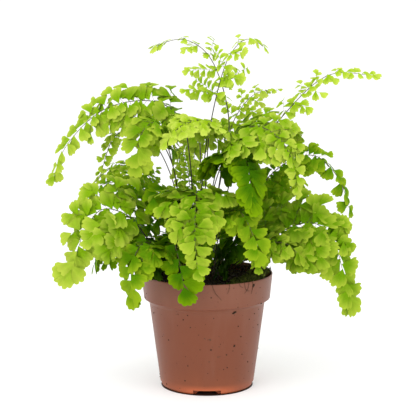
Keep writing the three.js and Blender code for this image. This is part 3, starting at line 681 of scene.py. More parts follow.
class Rule:
    """A Geometry Nodes group with named inputs, put on a piece and applied."""

    def __init__(self, name: str, inputs: dict[str, Socket]) -> None:
        """Starts a group.

        Args:
            name: The group's name.
            inputs: The label and the kind of each input after the geometry.
        """
        self.group = bpy.data.node_groups.new(name, "GeometryNodeTree")
        face = self.group.interface
        face.new_socket("Geometry", in_out="INPUT", socket_type="NodeSocketGeometry")
        face.new_socket("Geometry", in_out="OUTPUT", socket_type="NodeSocketGeometry")
        for label, kind in inputs.items():
            face.new_socket(label, in_out="INPUT", socket_type=kind.value)
        self.tree = Tree(self.group)
        self.given = self.tree.add("NodeGroupInput")

    def value(self, label: str) -> NodeSocket:
        """The group input with a label."""
        return self.given.outputs[label]

    def attribute(self, name: str, kind: str = "FLOAT") -> NodeSocket:
        """A named attribute of the geometry that the group works on."""
        node = self.tree.add("GeometryNodeInputNamedAttribute", {"data_type": kind}, Name=name)
        return self.tree.out(node, "Attribute")

    def chance(self, low: Any, high: Any, salt: int, kind: str = "FLOAT") -> NodeSocket:
        """A random value for each element, from the group's seed and a salt.

        Args:
            low: The least value.
            high: The most.
            salt: What tells this draw from the group's others.
            kind: The values' type.

        Returns:
            The value.
        """
        seed = self.tree.math("ADD", self.value("Seed"), float(salt))
        node = self.tree.add("FunctionNodeRandomValue", {"data_type": kind}, Min=low, Max=high, Seed=seed)
        return self.tree.out(node, "Value")

    def set_kinds(self, label: str, points: NodeSocket, **how: Any) -> NodeSocket:
        """Sets an object of a collection on each point.

        Args:
            label: The group input that gives the collection.
            points: The points.
            **how: The objects' scale, turn and index, by the labels that Instance on Points has.

        Returns:
            The instances.
        """
        kinds = self.tree.add("GeometryNodeCollectionInfo", None, Collection=self.value(label),
                              Separate_Children=True, Reset_Children=True)
        put = self.tree.add("GeometryNodeInstanceOnPoints", None, Points=points, Pick_Instance=True,
                            Instance=self.tree.out(kinds), **how)
        return put.outputs[0]

    def loosen(self, instances: NodeSocket, lean: Any, spin: Any) -> NodeSocket:
        """Turns instances at random, by up to a lean about X and Y and up to a spin about Z.

        Args:
            instances: The instances.
            lean: The most that one is turned about X and about Y, in radians.
            spin: The most that one is turned about Z, in radians.

        Returns:
            The turned instances.
        """
        back, unspin = (self.tree.math("MULTIPLY", most, -1.0) for most in (lean, spin))
        low = self.tree.add("ShaderNodeCombineXYZ", None, X=back, Y=back, Z=unspin)
        high = self.tree.add("ShaderNodeCombineXYZ", None, X=lean, Y=lean, Z=spin)
        angles = self.chance(low.outputs[0], high.outputs[0], 2, "FLOAT_VECTOR")
        turn = self.tree.add("FunctionNodeEulerToRotation", None, Euler=angles)
        loose = self.tree.add("GeometryNodeRotateInstances", None, Instances=instances,
                              Rotation=turn.outputs[0])
        return loose.outputs[0]

    def end(self, geometry: NodeSocket) -> None:
        """Realizes the instances, sets the material and gives the result.

        Args:
            geometry: The geometry that the group has made.
        """
        real = self.tree.add("GeometryNodeRealizeInstances", None, Geometry=geometry)
        dressed = self.tree.add("GeometryNodeSetMaterial", None, Geometry=real.outputs[0],
                                Material=self.value("Finish"))
        output = self.tree.add("NodeGroupOutput")
        self.tree.feed(output.inputs[0], dressed.outputs[0])

    def apply(self, piece: Object, **values: Any) -> None:
        """Runs the group on a piece and keeps the result as a plain mesh.

        Args:
            piece: The object that holds what the group starts from.
            **values: The group's inputs by label, with an underscore for a space.
        """
        modifier = piece.modifiers.new(self.group.name, "NODES")
        modifier.node_group = self.group
        for item in self.group.interface.items_tree:
            key = item.name.replace(" ", "_")
            if item.in_out == "INPUT" and key in values:
                modifier[item.identifier] = values[key]
        apply_modifiers(piece)


def leaflets_rule() -> Rule:
    """A rule that sets a leaflet on each point, by the point's facing, size and kind.

    Returns:
        The rule.
    """
    rule = Rule("leaflets_on_points", {"Leaflets": Socket.KINDS, "Finish": Socket.FINISH,
                                       "Size Variation": Socket.NUMBER, "Tilt": Socket.NUMBER,
                                       "Seed": Socket.COUNT})
    tree = rule.tree
    less = tree.math("SUBTRACT", 1.0, rule.value("Size Variation"))
    more = tree.math("ADD", 1.0, rule.value("Size Variation"))
    size = tree.math("MULTIPLY", rule.attribute("size"), rule.chance(less, more, 1))
    facing = tree.add("FunctionNodeEulerToRotation", None, Euler=rule.attribute("facing", "FLOAT_VECTOR"))
    leaflets = rule.set_kinds("Leaflets", rule.value("Geometry"), Rotation=facing.outputs[0], Scale=size,
                              Instance_Index=rule.attribute("kind", "INT"))
    tilt = rule.value("Tilt")
    rule.end(rule.loosen(leaflets, tilt, tilt))
    return rule


def wires_rule() -> Rule:
    """A rule that turns each run of edges into a round wire, as thick as its points say.

    Returns:
        The rule.
    """
    rule = Rule("wires_on_edges", {"Finish": Socket.FINISH, "Sides": Socket.COUNT})
    tree = rule.tree
    runs = tree.add("GeometryNodeMeshToCurve", None, Mesh=rule.value("Geometry"))
    section = tree.add("GeometryNodeCurvePrimitiveCircle", None, Resolution=rule.value("Sides"), Radius=1.0)
    solid = tree.add("GeometryNodeCurveToMesh", None, Curve=runs.outputs[0], Profile_Curve=section.outputs[0],
                     Scale=rule.attribute("thickness"), Fill_Caps=True)
    smooth = tree.add("GeometryNodeSetShadeSmooth", None, Geometry=solid.outputs[0])
    rule.end(smooth.outputs[0])
    return rule


def scatter_rule() -> Rule:
    """A rule that strews bits over a surface, most of them small, denser where its points say so.

    Returns:
        The rule.
    """
    rule = Rule("bits_on_surface", {"Bits": Socket.KINDS, "Finish": Socket.FINISH,
                                    "Density": Socket.NUMBER, "Smallest": Socket.NUMBER,
                                    "Largest": Socket.NUMBER, "Lean": Socket.NUMBER, "Seed": Socket.COUNT})
    tree = rule.tree
    dense = tree.math("MULTIPLY", rule.value("Density"), rule.attribute("dense"))
    spread = tree.add("GeometryNodeDistributePointsOnFaces", None, Mesh=rule.value("Geometry"), Density=dense,
                      Seed=rule.value("Seed"))
    share = tree.math("POWER", rule.chance(0.0, 1.0, 1), 2.0)
    gap = tree.math("SUBTRACT", rule.value("Largest"), rule.value("Smallest"))
    size = tree.math("MULTIPLY_ADD", share, gap, rule.value("Smallest"))
    bits = rule.set_kinds("Bits", spread.outputs["Points"], Rotation=tree.out(spread, "Rotation"), Scale=size)
    loose = rule.loosen(bits, rule.value("Lean"), math.pi)
    tinted = tree.add("GeometryNodeStoreNamedAttribute", {"data_type": "FLOAT", "domain": "INSTANCE"},
                      Geometry=loose, Name="tint", Value=rule.chance(0.0, 1.0, 3))
    rule.end(tinted.outputs[0])
    return rule


class SmoothPath:
    """A smooth curve through points, with spans timed by the root of their length, read by distance."""

    SAMPLES = 60

    def __init__(self, points: Sequence[Sequence[float]]) -> None:
        """Lays the curve through the points and measures it.

        Args:
            points: The points that the curve passes.
        """
        given = [np.array(point, float) for point in points]
        ends = [2 * given[0] - given[1], *given, 2 * given[-1] - given[-2]]
        shares = np.linspace(0.0, 1.0, self.SAMPLES, endpoint=False)[:, None]
        spans = [self.span(ends[i : i + 4], shares) for i in range(len(given) - 1)]
        self.points = np.vstack([*spans, given[-1][None, :]])
        steps = np.linalg.norm(np.diff(self.points, axis=0), axis=1)
        self.distances = np.concatenate([[0.0], np.cumsum(steps)])
        self.length = float(self.distances[-1])

    @staticmethod
    def span(around: Sequence[np.ndarray], shares: np.ndarray) -> np.ndarray:
        """Points of the span between the middle two of four points.

        Args:
            around: The four points.
            shares: Shares of the way along the span.

        Returns:
            One point for each share.
        """
        first, second, third, fourth = around
        before, here, after = (float(np.linalg.norm(b - a)) ** 0.5 for a, b in zip(around, around[1:]))
        leave = (second - first) / before - (third - first) / (before + here) + (third - second) / here
        arrive = (third - second) / here - (fourth - second) / (here + after) + (fourth - third) / after
        leave, arrive = leave * here, arrive * here
        cubic = 2 * second - 2 * third + leave + arrive
        square = -3 * second + 3 * third - 2 * leave - arrive
        return second + leave * shares + square * shares**2 + cubic * shares**3

    def at(self, distance: float) -> np.ndarray:
        """The point at a distance from the start."""
        return np.array([np.interp(distance, self.distances, self.points[:, axis]) for axis in range(3)])

    def run(self, stations: np.ndarray) -> np.ndarray:
        """The points at distances from the start."""
        return np.array([self.at(distance) for distance in stations])

    def ahead(self, distance: float) -> np.ndarray:
        """The direction of travel at a distance."""
        reach = self.length / 200
        return unit(self.at(min(distance + reach, self.length)) - self.at(max(distance - reach, 0.0)))


def unit(vector: np.ndarray) -> np.ndarray:
    """A vector of length 1 in the same direction."""
    return vector / np.linalg.norm(vector)


def turned(vector: np.ndarray, axis: np.ndarray, degrees: float) -> np.ndarray:
    """A vector turned about an axis by an angle."""
    return np.array(Matrix.Rotation(math.radians(degrees), 3, Vector(axis)) @ Vector(vector))


def between(ends: tuple[float, float], part: float, whole: float = 1.0) -> float:
    """A value that goes from the first end to the second as a part grows to the whole."""
    return ends[0] + (ends[1] - ends[0]) * part / whole


@dataclass(frozen=True)
class LeafletShape:
    """A fan-shaped leaflet of length 1: wedge at the stalk, scalloped outer edge, slightly cupped and waved.

    Attributes:
        name: The name of its object.
        lobes: The number of lobes along its outer edge.
        spread: Half the angle of its fan, in degrees.
        cleft: The depth of the clefts between its lobes.
        seed: The seed of its irregularities.
        steps: The number of edges round a lobe.
        roundness: How much its outer edge falls back towards its sides.
        skew: How far its fan leans to one side.
        cup: How much it falls at its sides.
        wave: The height of its waves.
        droop: How much it falls at its outer edge.
        thick: Half its thickness in the middle.
        waist: How far out it keeps that thickness, as a share of its length.
    """

    LOPSIDED: ClassVar[float] = 0.5
    LOBE_ROUND: ClassVar[float] = 0.45
    SHOULDER: ClassVar[float] = 0.2
    EVEN_WAIST: ClassVar[float] = 0.35
    NARROW_WAIST: ClassVar[float] = 0.94
    SHARP: ClassVar[float] = 50.0

    name: str
    lobes: int
    spread: float
    cleft: float
    seed: int
    steps: int = 4
    roundness: float = 0.5
    skew: float = 0.0
    cup: float = 0.2
    wave: float = 0.04
    droop: float = 0.16
    thick: float = 0.007
    waist: float = 0.52

    def outline(self) -> tuple[np.ndarray, np.ndarray]:
        """The outer edge, as angles from the middle and radii.

        Returns:
            The angles and the radii.
        """
        draw = np.random.default_rng(self.seed)
        share = np.linspace(0.0, 1.0, self.lobes * self.steps + 1)
        phase = share * self.lobes
        lobe = np.minimum(phase.astype(int), self.lobes - 1)
        rise = np.abs(np.sin(math.pi * (phase - lobe))) ** self.LOBE_ROUND
        cleft = self.cleft * draw.uniform(0.5, 1.4, self.lobes + 1)
        depth = cleft[np.round(phase).astype(int)]
        reach = draw.uniform(0.95, 1.0, self.lobes)[lobe]
        side = 2 * share - 1
        angle = np.radians(self.spread) * (side + self.skew * (1 - side**2))
        radius = reach * (1 - depth * (1 - rise)) * np.cos(angle) ** self.roundness
        radius *= 1 - self.SHOULDER * side**6
        radius *= 1 + self.LOPSIDED * self.skew * side
        return angle, radius

    def lift(self, x: np.ndarray, y: np.ndarray, share: np.ndarray) -> np.ndarray:
        """Height of the leaflet's middle surface at points, from its cup, its droop and its waves.

        Args:
            x: How far along the leaflet the points are.
            y: How far aside.
            share: How far round its fan.

        Returns:
            The heights.
        """
        draw = np.random.default_rng(self.seed + 100)
        ripple = self.wave * np.sin(2 * math.pi * (share * self.lobes / 2 + draw.random())) * np.hypot(x, y)
        return ripple - self.cup * y**2 - self.droop * x**2

    def build(self) -> Object:
        """Makes the leaflet: two faces that meet in its edge, with a UV map across and along it.

        Returns:
            The leaflet's object, which isn't in the scene.
        """
        angle, radius = self.outline()
        count = len(angle)
        share = np.linspace(0.0, 1.0, count)
        inner = self.waist * (self.EVEN_WAIST + (1 - self.EVEN_WAIST) * radius)
        points = [(0.0, 0.0, 0.0)]
        uvs = [(0.5, 0.0)]
        for side in (1, -1):
            x, y = inner * np.cos(angle), inner * np.sin(angle) * self.NARROW_WAIST
            points += list(zip(x, y, self.lift(x, y, share) + side * self.thick))
            uvs += [(value, self.waist) for value in share]
        x, y = radius * np.cos(angle), radius * np.sin(angle)
        points += list(zip(x, y, self.lift(x, y, share)))
        uvs += [(value, 1.0) for value in share]
        top, under, rim = 1, 1 + count, 1 + 2 * count
        faces: list[tuple[int, ...]] = []
        for i in range(count - 1):
            faces.append((0, top + i, top + i + 1))
            faces.append((top + i, rim + i, rim + i + 1, top + i + 1))
            faces.append((0, under + i + 1, under + i))
            faces.append((under + i, under + i + 1, rim + i + 1, rim + i))
        for end, turn in ((0, 1), (count - 1, -1)):
            faces.append((0, under + end, top + end)[::turn])
            faces.append((under + end, rim + end, top + end)[::turn])
        mesh = new_mesh(self.name, points, faces=faces)
        layer = mesh.uv_layers.new(name="UVMap")
        corners = np.array([uvs[loop.vertex_index] for loop in mesh.loops], np.float32)
        layer.data.foreach_set("uv", corners.ravel())
        keep_sharp(mesh, self.SHARP)
        return mesh_object(self.name, mesh, linked=False)


# Leaflets from bud to fully grown, two of each so that neighbours differ. Their names sort in this order.
LEAFLETS = (
    LeafletShape("leaflet_0_bud", 1, 33, 0.0, 11, steps=8, roundness=0.9, droop=0.05, cup=0.1),
    LeafletShape("leaflet_1_bud", 2, 35, 0.08, 12, steps=4, roundness=0.8, droop=0.05, cup=0.1),
    LeafletShape("leaflet_2_small", 3, 35, 0.07, 21, steps=3, roundness=0.95),
    LeafletShape("leaflet_3_small", 2, 32, 0.09, 22, steps=4, roundness=0.95, skew=0.18),
    LeafletShape("leaflet_4_medium", 4, 36, 0.085, 31, steps=3, skew=-0.24),
    LeafletShape("leaflet_5_medium", 3, 32, 0.1, 32, skew=0.24),
    LeafletShape("leaflet_6_large", 5, 43, 0.08, 41, steps=3, wave=0.05, skew=0.18),
    LeafletShape("leaflet_7_large", 4, 39, 0.09, 42, wave=0.05, skew=-0.2),
)
# Lengths in millimetres at which a leaflet counts as small, medium and large.
GROWTH_STEPS = (5.0, 9.0, 16.5)


@dataclass(frozen=True)
class RibFrame:
    """A place on a rib and the blade's directions there."""

    place: np.ndarray
    ahead: np.ndarray
    left: np.ndarray
    out: np.ndarray


@dataclass
class Rib:
    """A stretch of stem that bears leaflets: a frond's blade, or a side pinna of one.

    Attributes:
        path: The stem's path.
        start: Where the leaflets begin, as a distance along it.
        leaf: The length of the leaflets at its foot.
        left: The blade's left before its roll.
        roll: The blade's roll about its rib at its foot and at its tip, in degrees.
        tip: The length of the leaflets at its tip, as a share of that at its foot.
        youth: The tint of the leaflets at its foot and at its tip, from -1 to 1: above 0 they are paler with
            youth, below 0 they get painted shade.
        leans: How far the leaflets lean ahead at its foot and at its tip, in degrees.
        length: How far along it leaflets are set.
    """

    TIP_ROOM: ClassVar[float] = 0.8
    TAPER: ClassVar[float] = 1.4

    path: SmoothPath
    start: float
    leaf: float
    left: np.ndarray
    roll: tuple[float, float]
    tip: float
    youth: tuple[float, float]
    leans: tuple[float, float]
    length: float = field(init=False)

    def __post_init__(self) -> None:
        """Leaves room for the last leaflet."""
        self.length = self.path.length - self.start - self.TIP_ROOM * self.leaf * self.tip

    def frame(self, distance: float) -> RibFrame:
        """Place and directions at a distance along the rib.

        Args:
            distance: The distance.

        Returns:
            The place and the directions.
        """
        ahead = self.path.ahead(self.start + distance)
        share = min(max(distance / self.length, 0.0), 1.0)
        level = unit(self.left - self.left.dot(ahead) * ahead)
        left = turned(level, ahead, -between(self.roll, share))
        return RibFrame(self.path.at(self.start + distance), ahead, left, np.cross(ahead, left))

    def leaf_at(self, distance: float) -> float:
        """Length of a leaflet at a distance: full at the foot, less towards the tip."""
        share = max(distance / self.length, 0.0) ** self.TAPER
        return self.leaf * (1 - (1 - self.tip) * share)

    def tint_at(self, distance: float) -> float:
        """The tint of a leaflet at a distance: paler with youth above 0, painted shade below 0."""
        return between(self.youth, distance, self.length)


@dataclass
class Growth:
    """What has grown: runs of wire with their thickness and youth, and leaflets."""

    wires: list[tuple[np.ndarray, np.ndarray, np.ndarray]] = field(default_factory=list)
    places: list[np.ndarray] = field(default_factory=list)
    facings: list[tuple[float, ...]] = field(default_factory=list)
    sizes: list[float] = field(default_factory=list)
    kinds: list[int] = field(default_factory=list)
    tints: list[float] = field(default_factory=list)

    def add_wire(self, run: np.ndarray, thickness: np.ndarray | float, youth: np.ndarray | float) -> None:
        """Adds a wire.

        Args:
            run: The points that it passes.
            thickness: Its radius, one for all or one for each point.
            youth: Its youth, one for all or one for each point.
        """
        self.wires.append((run, np.broadcast_to(thickness, len(run)), np.broadcast_to(youth, len(run))))

    def leaflets_mesh(self, name: str) -> Mesh:
        """The leaflets as points with their attributes.

        Args:
            name: The mesh's name.

        Returns:
            The mesh.
        """
        mesh = new_mesh(name, [place * MM for place in self.places])
        facing = mesh.attributes.new("facing", "FLOAT_VECTOR", "POINT")
        facing.data.foreach_set("vector", np.array(self.facings, np.float32).ravel())
        mark_points(mesh, "size", np.array(self.sizes) * MM)
        mark_points(mesh, "tint", self.tints)
        mesh.attributes.new("kind", "INT", "POINT").data.foreach_set("value", np.array(self.kinds, np.int32))
        return mesh

    def wires_mesh(self, name: str) -> Mesh:
        """The wires as runs of edges with their thickness and youth.

        Args:
            name: The mesh's name.

        Returns:
            The mesh.
        """
        points: list[np.ndarray] = []
        edges: list[tuple[int, int]] = []
        for run, _, _ in self.wires:
            first = len(points)
            points += [point * MM for point in run]
            edges += [(first + i, first + i + 1) for i in range(len(run) - 1)]
        mesh = new_mesh(name, points, edges)
        mark_points(mesh, "thickness", np.concatenate([thickness for _, thickness, _ in self.wires]) * MM)
        mark_points(mesh, "tint", np.concatenate([youth for _, _, youth in self.wires]))
        return mesh


@dataclass(frozen=True)
class Habit:
    """How this plant's fronds grow.

    Attributes:
        stem: The radius of a stem at its foot.
        stem_taper: The share of its thickness that a stem loses by its tip, besides what its blade loses.
        rib: The radius of a blade's rib at its tip.
        thread: The radius of a side pinna's rib at its foot.
        stalk: The radius of a leaflet's stalk.
        green: The youth of the side pinnae's ribs.
        stalk_green: The youth of the leaflets' stalks.
        first_fork: How far along the blade its first pinna leaves.
        pinna_angles: The angle between pinna and rib at the blade's foot and at its tip, in degrees.
        pinna_droop: How far a pinna falls, as a share of its length.
        pinna_pitch: The distance between pinnae, in leaflets' lengths.
        pinna_taper: How late along the blade the pinnae grow short.
        pinna_leaf: The length of a pinna's leaflets, as a share of those on the rib.
        pinna_tip: The length of a pinna's last leaflets, as a share of its first.
        pinna_youth: How much paler a pinna is at its tip than at its foot.
        shortest: The length of the shortest pinna, in leaflets' lengths.
        spare: What every pinna has besides its share of the longest one, in leaflets' lengths.
        fork_leaf: The length of the two leaflets at a pinna's foot, as a share of those on the rib.
        fork_places: How far past the pinna those two stand, in leaflets' lengths.
        rib_pitch: The distance between leaflets on a rib without pinnae, in their lengths.
        thread_pitch: The distance between leaflets on a pinna, in their lengths.
        leans: How far leaflets on the rib lean ahead at the blade's foot and at its tip, in degrees.
        pinna_leans: The same on a pinna.
        long: How much leaflets are drawn out.
        fold: How far the leaflets on both sides fold down from the blade, in degrees.
        sag: How much leaflets sag.
        lift: How much leaflets lift off the blade.
        stalk_gap: Where a leaflet begins, along it from its rib.
        proud: How far a leaflet stands out of the blade.
        facing: How much leaflets turn away from the plant's middle.
        flatness: How much less they turn away upwards than sideways.
        skyward: How much leaflets on a rising rib turn up.
        middle: The middle that leaflets turn away from.
        rim_clear: The radius within which, and the height under which, no leaflet begins.
        unlike_pinnae: How unlike in length pinnae are.
        unlike_pitches: How unlike distances are.
        unlike_angles: How unlike the pinnae's angles are, in degrees.
        unlike_leans: How unlike the leaflets' leans are, in degrees.
        unlike_folds: How unlike the leaflets' folds are, in degrees.
        unlike_tints: How unlike leaflets are in their paleness.
    """

    stem: float = 0.6
    stem_taper: float = 0.3
    rib: float = 0.15
    thread: float = 0.14
    stalk: float = 0.1
    green: float = 0.7
    stalk_green: float = 0.8
    first_fork: float = 3.0
    pinna_angles: tuple[float, float] = (66.0, 46.0)
    pinna_droop: float = 0.28
    pinna_pitch: float = 0.42
    pinna_taper: float = 1.3
    pinna_leaf: float = 0.9
    pinna_tip: float = 0.8
    pinna_youth: float = 0.4
    shortest: float = 1.05
    spare: float = 0.5
    fork_leaf: float = 0.85
    fork_places: tuple[float, float] = (0.1, 0.25)
    rib_pitch: float = 0.33
    thread_pitch: float = 0.32
    leans: tuple[float, float] = (14.0, 50.0)
    pinna_leans: tuple[float, float] = (34.0, 56.0)
    long: float = 1.06
    fold: float = 10.0
    sag: float = 0.25
    lift: float = 0.12
    stalk_gap: float = -0.6
    proud: float = 1.2
    facing: float = 0.8
    flatness: float = 4.0
    skyward: float = 0.7
    middle: Point = (-9.0, 2.0, 130.0)
    rim_clear: tuple[float, float] = (64.0, 107.0)
    unlike_pinnae: tuple[float, float] = (0.88, 1.08)
    unlike_pitches: tuple[float, float] = (0.9, 1.1)
    unlike_angles: float = 7.0
    unlike_leans: float = 13.0
    unlike_folds: float = 14.0
    unlike_tints: float = 0.4


@dataclass
class Frond:
    """A frond grown from its plan: wiry stem, side pinnae and leaflets.

    Attributes:
        plan: Its place, path and leaflets.
        seed: The seed of its small irregularities.
        habit: How the plant's fronds grow.
        growth: What it has grown so far.
        draw: Where its small irregularities come from.
        path: The path of its stem.
        blade: The stretch of it that bears pinnae and leaflets.
    """

    # Tint at a blade's foot and at its tip, by tone: the feet's values below 0 are painted shade for leaflets
    # deep inside the plant; above 0 leaflets are paler with youth.
    YOUTH_AND_PAINTED_SHADE: ClassVar[dict[Tone, tuple[float, float]]] = {
        Tone.PALE: (-0.4, 0.6), Tone.FRESH: (-0.7, 0.6), Tone.GREEN: (-0.8, 0.5), Tone.FULL: (-0.7, 0.35),
        Tone.DEEP: (-0.6, 0.15), Tone.DARK: (-0.8, -0.2),
    }
    STATIONS: ClassVar[int] = 64
    PINNA_STATIONS: ClassVar[int] = 10
    LIFTS: ClassVar[int] = 8

    plan: FrondPlan
    seed: int
    habit: Habit = Habit()
    growth: Growth = field(default_factory=Growth)
    draw: np.random.Generator = field(init=False)
    path: SmoothPath = field(init=False)
    blade: Rib = field(init=False)

    def __post_init__(self) -> None:
        """Lays the frond's stem and its blade."""
        plan = self.plan
        self.draw = np.random.default_rng(self.seed)
        angle = math.radians(plan.at)
        x = CROWN[0] + plan.ring * math.cos(angle)
        y = CROWN[1] + plan.ring * math.sin(angle)
        self.path = SmoothPath([(x, y, ROOT_TOP - ROOT_DEPTH), (x, y, ROOT_TOP), *plan.path])
        outward = self.path.at(self.path.length) - self.path.at(0.0)
        outward[2] = 0.0
        self.blade = Rib(self.path, self.path.length * plan.start, plan.leaf, np.cross(UP, unit(outward)),
                         plan.roll, plan.tip, self.YOUTH_AND_PAINTED_SHADE[plan.tone], self.habit.leans)

    def vary(self, most: float) -> float:
        """A random amount up to so much either way."""
        return self.draw.uniform(-most, most)

    def grow(self) -> Growth:
        """Grows the stem, the pinnae and the leaflets.

        Returns:
            What has grown.
        """
        habit, path, blade = self.habit, self.path, self.blade
        stations = np.linspace(0.0, blade.start + blade.length, self.STATIONS)
        young = np.clip((stations - blade.start) / blade.length, 0.0, 1.0)
        lost = habit.stem_taper * stations / path.length
        radii = habit.rib + (habit.stem - habit.rib) * (1 - lost) * (1 - young) ** 0.7
        self.growth.add_wire(path.run(stations), radii, young)
        zone = blade.length * self.plan.zone
        distance, side = habit.first_fork, 1
        while distance < blade.length:
            leaf = blade.leaf_at(distance)
            taper = 1 - (distance / zone) ** habit.pinna_taper
            length = self.plan.pinna * taper * self.draw.uniform(*habit.unlike_pinnae) + habit.spare * leaf
            bears = length > habit.shortest * leaf
            if bears:
                self.set_pinna(distance, side, length)
                for past, where in zip(habit.fork_places, (-side, side)):
                    self.set_leaflet(blade, distance + past * leaf, where, habit.fork_leaf * leaf)
            else:
                self.set_leaflet(blade, distance, side, leaf)
            pitch = habit.pinna_pitch * self.plan.gap if bears else habit.rib_pitch
            distance += leaf * self.plan.airy * pitch * self.draw.uniform(*habit.unlike_pitches)
            side = -side
        self.set_leaflet(blade, blade.length, 0, blade.leaf_at(blade.length))
        return self.growth

    def set_pinna(self, distance: float, side: int, length: float) -> None:
        """Grows a side pinna: it leaves the rib at an angle, droops and bears leaflets of its own.

        Args:
            distance: Where along the blade it leaves.
            side: 1 for left, -1 for right.
            length: Its length.
        """
        habit = self.habit
        fork = self.blade.frame(distance)
        opening = between(habit.pinna_angles, distance, self.blade.length)
        angle = math.radians(opening + self.vary(habit.unlike_angles))
        away = math.cos(angle) * fork.ahead + side * math.sin(angle) * fork.left
        fall = habit.pinna_droop * length * (1 - 0.8 * max(away[2], 0.0))
        if not self.clear(fork.place + length * away - (fall + length / 3) * UP):
            fall = 0.0
        shares = (0.0, 0.35, 0.7, 1.0)
        path = SmoothPath([fork.place + share * length * away - fall * share**2 * UP for share in shares])
        leaf = self.blade.leaf_at(distance) * habit.pinna_leaf
        young = self.blade.tint_at(distance)
        pinna = Rib(path, 0.0, leaf, np.cross(fork.out, path.ahead(0.0)), (0.0, 0.0), habit.pinna_tip,
                    (young, young + habit.pinna_youth), habit.pinna_leans)
        stations = np.linspace(0.0, pinna.length, self.PINNA_STATIONS)
        radii = habit.thread * (1 - 0.5 * stations / path.length)
        self.growth.add_wire(path.run(stations), radii, habit.green)
        self.set_leaflets(pinna, leaf * 0.3, side)

    def set_leaflets(self, rib: Rib, first: float, side: int) -> None:
        """Sets leaflets on alternate sides of a rib, and one at its tip.

        Args:
            rib: What they grow on.
            first: Where along it the first is.
            side: The side of the first: 1 for left, -1 for right.
        """
        habit = self.habit
        distance = first
        while distance < rib.length - 0.1 * rib.leaf_at(rib.length):
            size = rib.leaf_at(distance)
            self.set_leaflet(rib, distance, side, size)
            distance += size * self.plan.airy * habit.thread_pitch * self.draw.uniform(*habit.unlike_pitches)
            side = -side
        self.set_leaflet(rib, rib.length, 0, rib.leaf_at(rib.length))

    def clear(self, place: np.ndarray) -> bool:
        """Whether a place is clear of the pot's rim and the soil."""
        radius, height = self.habit.rim_clear
        return place[2] > height or math.hypot(place[0], place[1]) > radius

    def stance(self, rib: Rib, here: RibFrame, share: float, side: int) -> tuple[np.ndarray, np.ndarray]:
        """How a leaflet stands on its rib, before it turns to the light.

        Args:
            rib: What it grows on.
            here: The rib's place and directions where it grows.
            share: How far along the rib that is, as a share of its length.
            side: 1 for left, -1 for right, 0 for the tip.

        Returns:
            The directions out of its face and along its middle.
        """
        if side == 0:
            return here.out, here.ahead
        lean = math.radians(between(rib.leans, max(share, 0.0) ** 1.8) + self.vary(self.habit.unlike_leans))
        fold = side * (self.vary(self.habit.unlike_folds) - self.habit.fold)
        sideways = turned(side * here.left, here.ahead, fold)
        return turned(here.out, here.ahead, fold), math.cos(lean) * sideways + math.sin(lean) * here.ahead

    def set_leaflet(self, rib: Rib, distance: float, side: int, size: float) -> None:
        """Sets one leaflet: it leans ahead over the rib, sags a little and turns to the light.

        Args:
            rib: What it grows on.
            distance: Where along it.
            side: 1 for left, -1 for right, 0 for the tip.
            size: Its length before it is drawn out.
        """
        habit = self.habit
        here = rib.frame(distance)
        size *= habit.long
        out, along = self.stance(rib, here, distance / rib.length, side)
        x, y, z = here.place - np.array(habit.middle)
        away = unit(np.array([x, y, max(z, 0.0) / habit.flatness]))
        turn = habit.facing * max(out.dot(away), 0.0)
        out = unit((1 - turn) * out + turn * away + habit.skyward * max(here.ahead[2], 0.0) * UP)
        along = unit(along - along.dot(out) * out)
        sag = habit.sag * max(1 - 1.5 * max(along[2], 0.0), 0.0) * (1 - max(-here.ahead[2], 0.0))
        along = unit(along - sag * UP + habit.lift * out)
        base = here.place + habit.stalk_gap * along + habit.proud * out
        if not self.clear(base):
            return
        for _ in range(self.LIFTS):
            if self.clear(base + size * along) and self.clear(base + 0.6 * size * along):
                break
            along = unit(along + 0.25 * UP)
        out = unit(out - out.dot(along) * along)
        growth = self.growth
        growth.add_wire(np.array([here.place, base + 0.06 * size * along]), habit.stalk, habit.stalk_green)
        growth.places.append(base)
        growth.facings.append(tuple(Matrix((along, np.cross(out, along), out)).transposed().to_euler()))
        growth.sizes.append(size)
        grown = sum(size > step for step in GROWTH_STEPS)
        growth.kinds.append(2 * grown + int(self.draw.integers(0, 2)))
        growth.tints.append(rib.tint_at(distance) + self.vary(habit.unlike_tints))


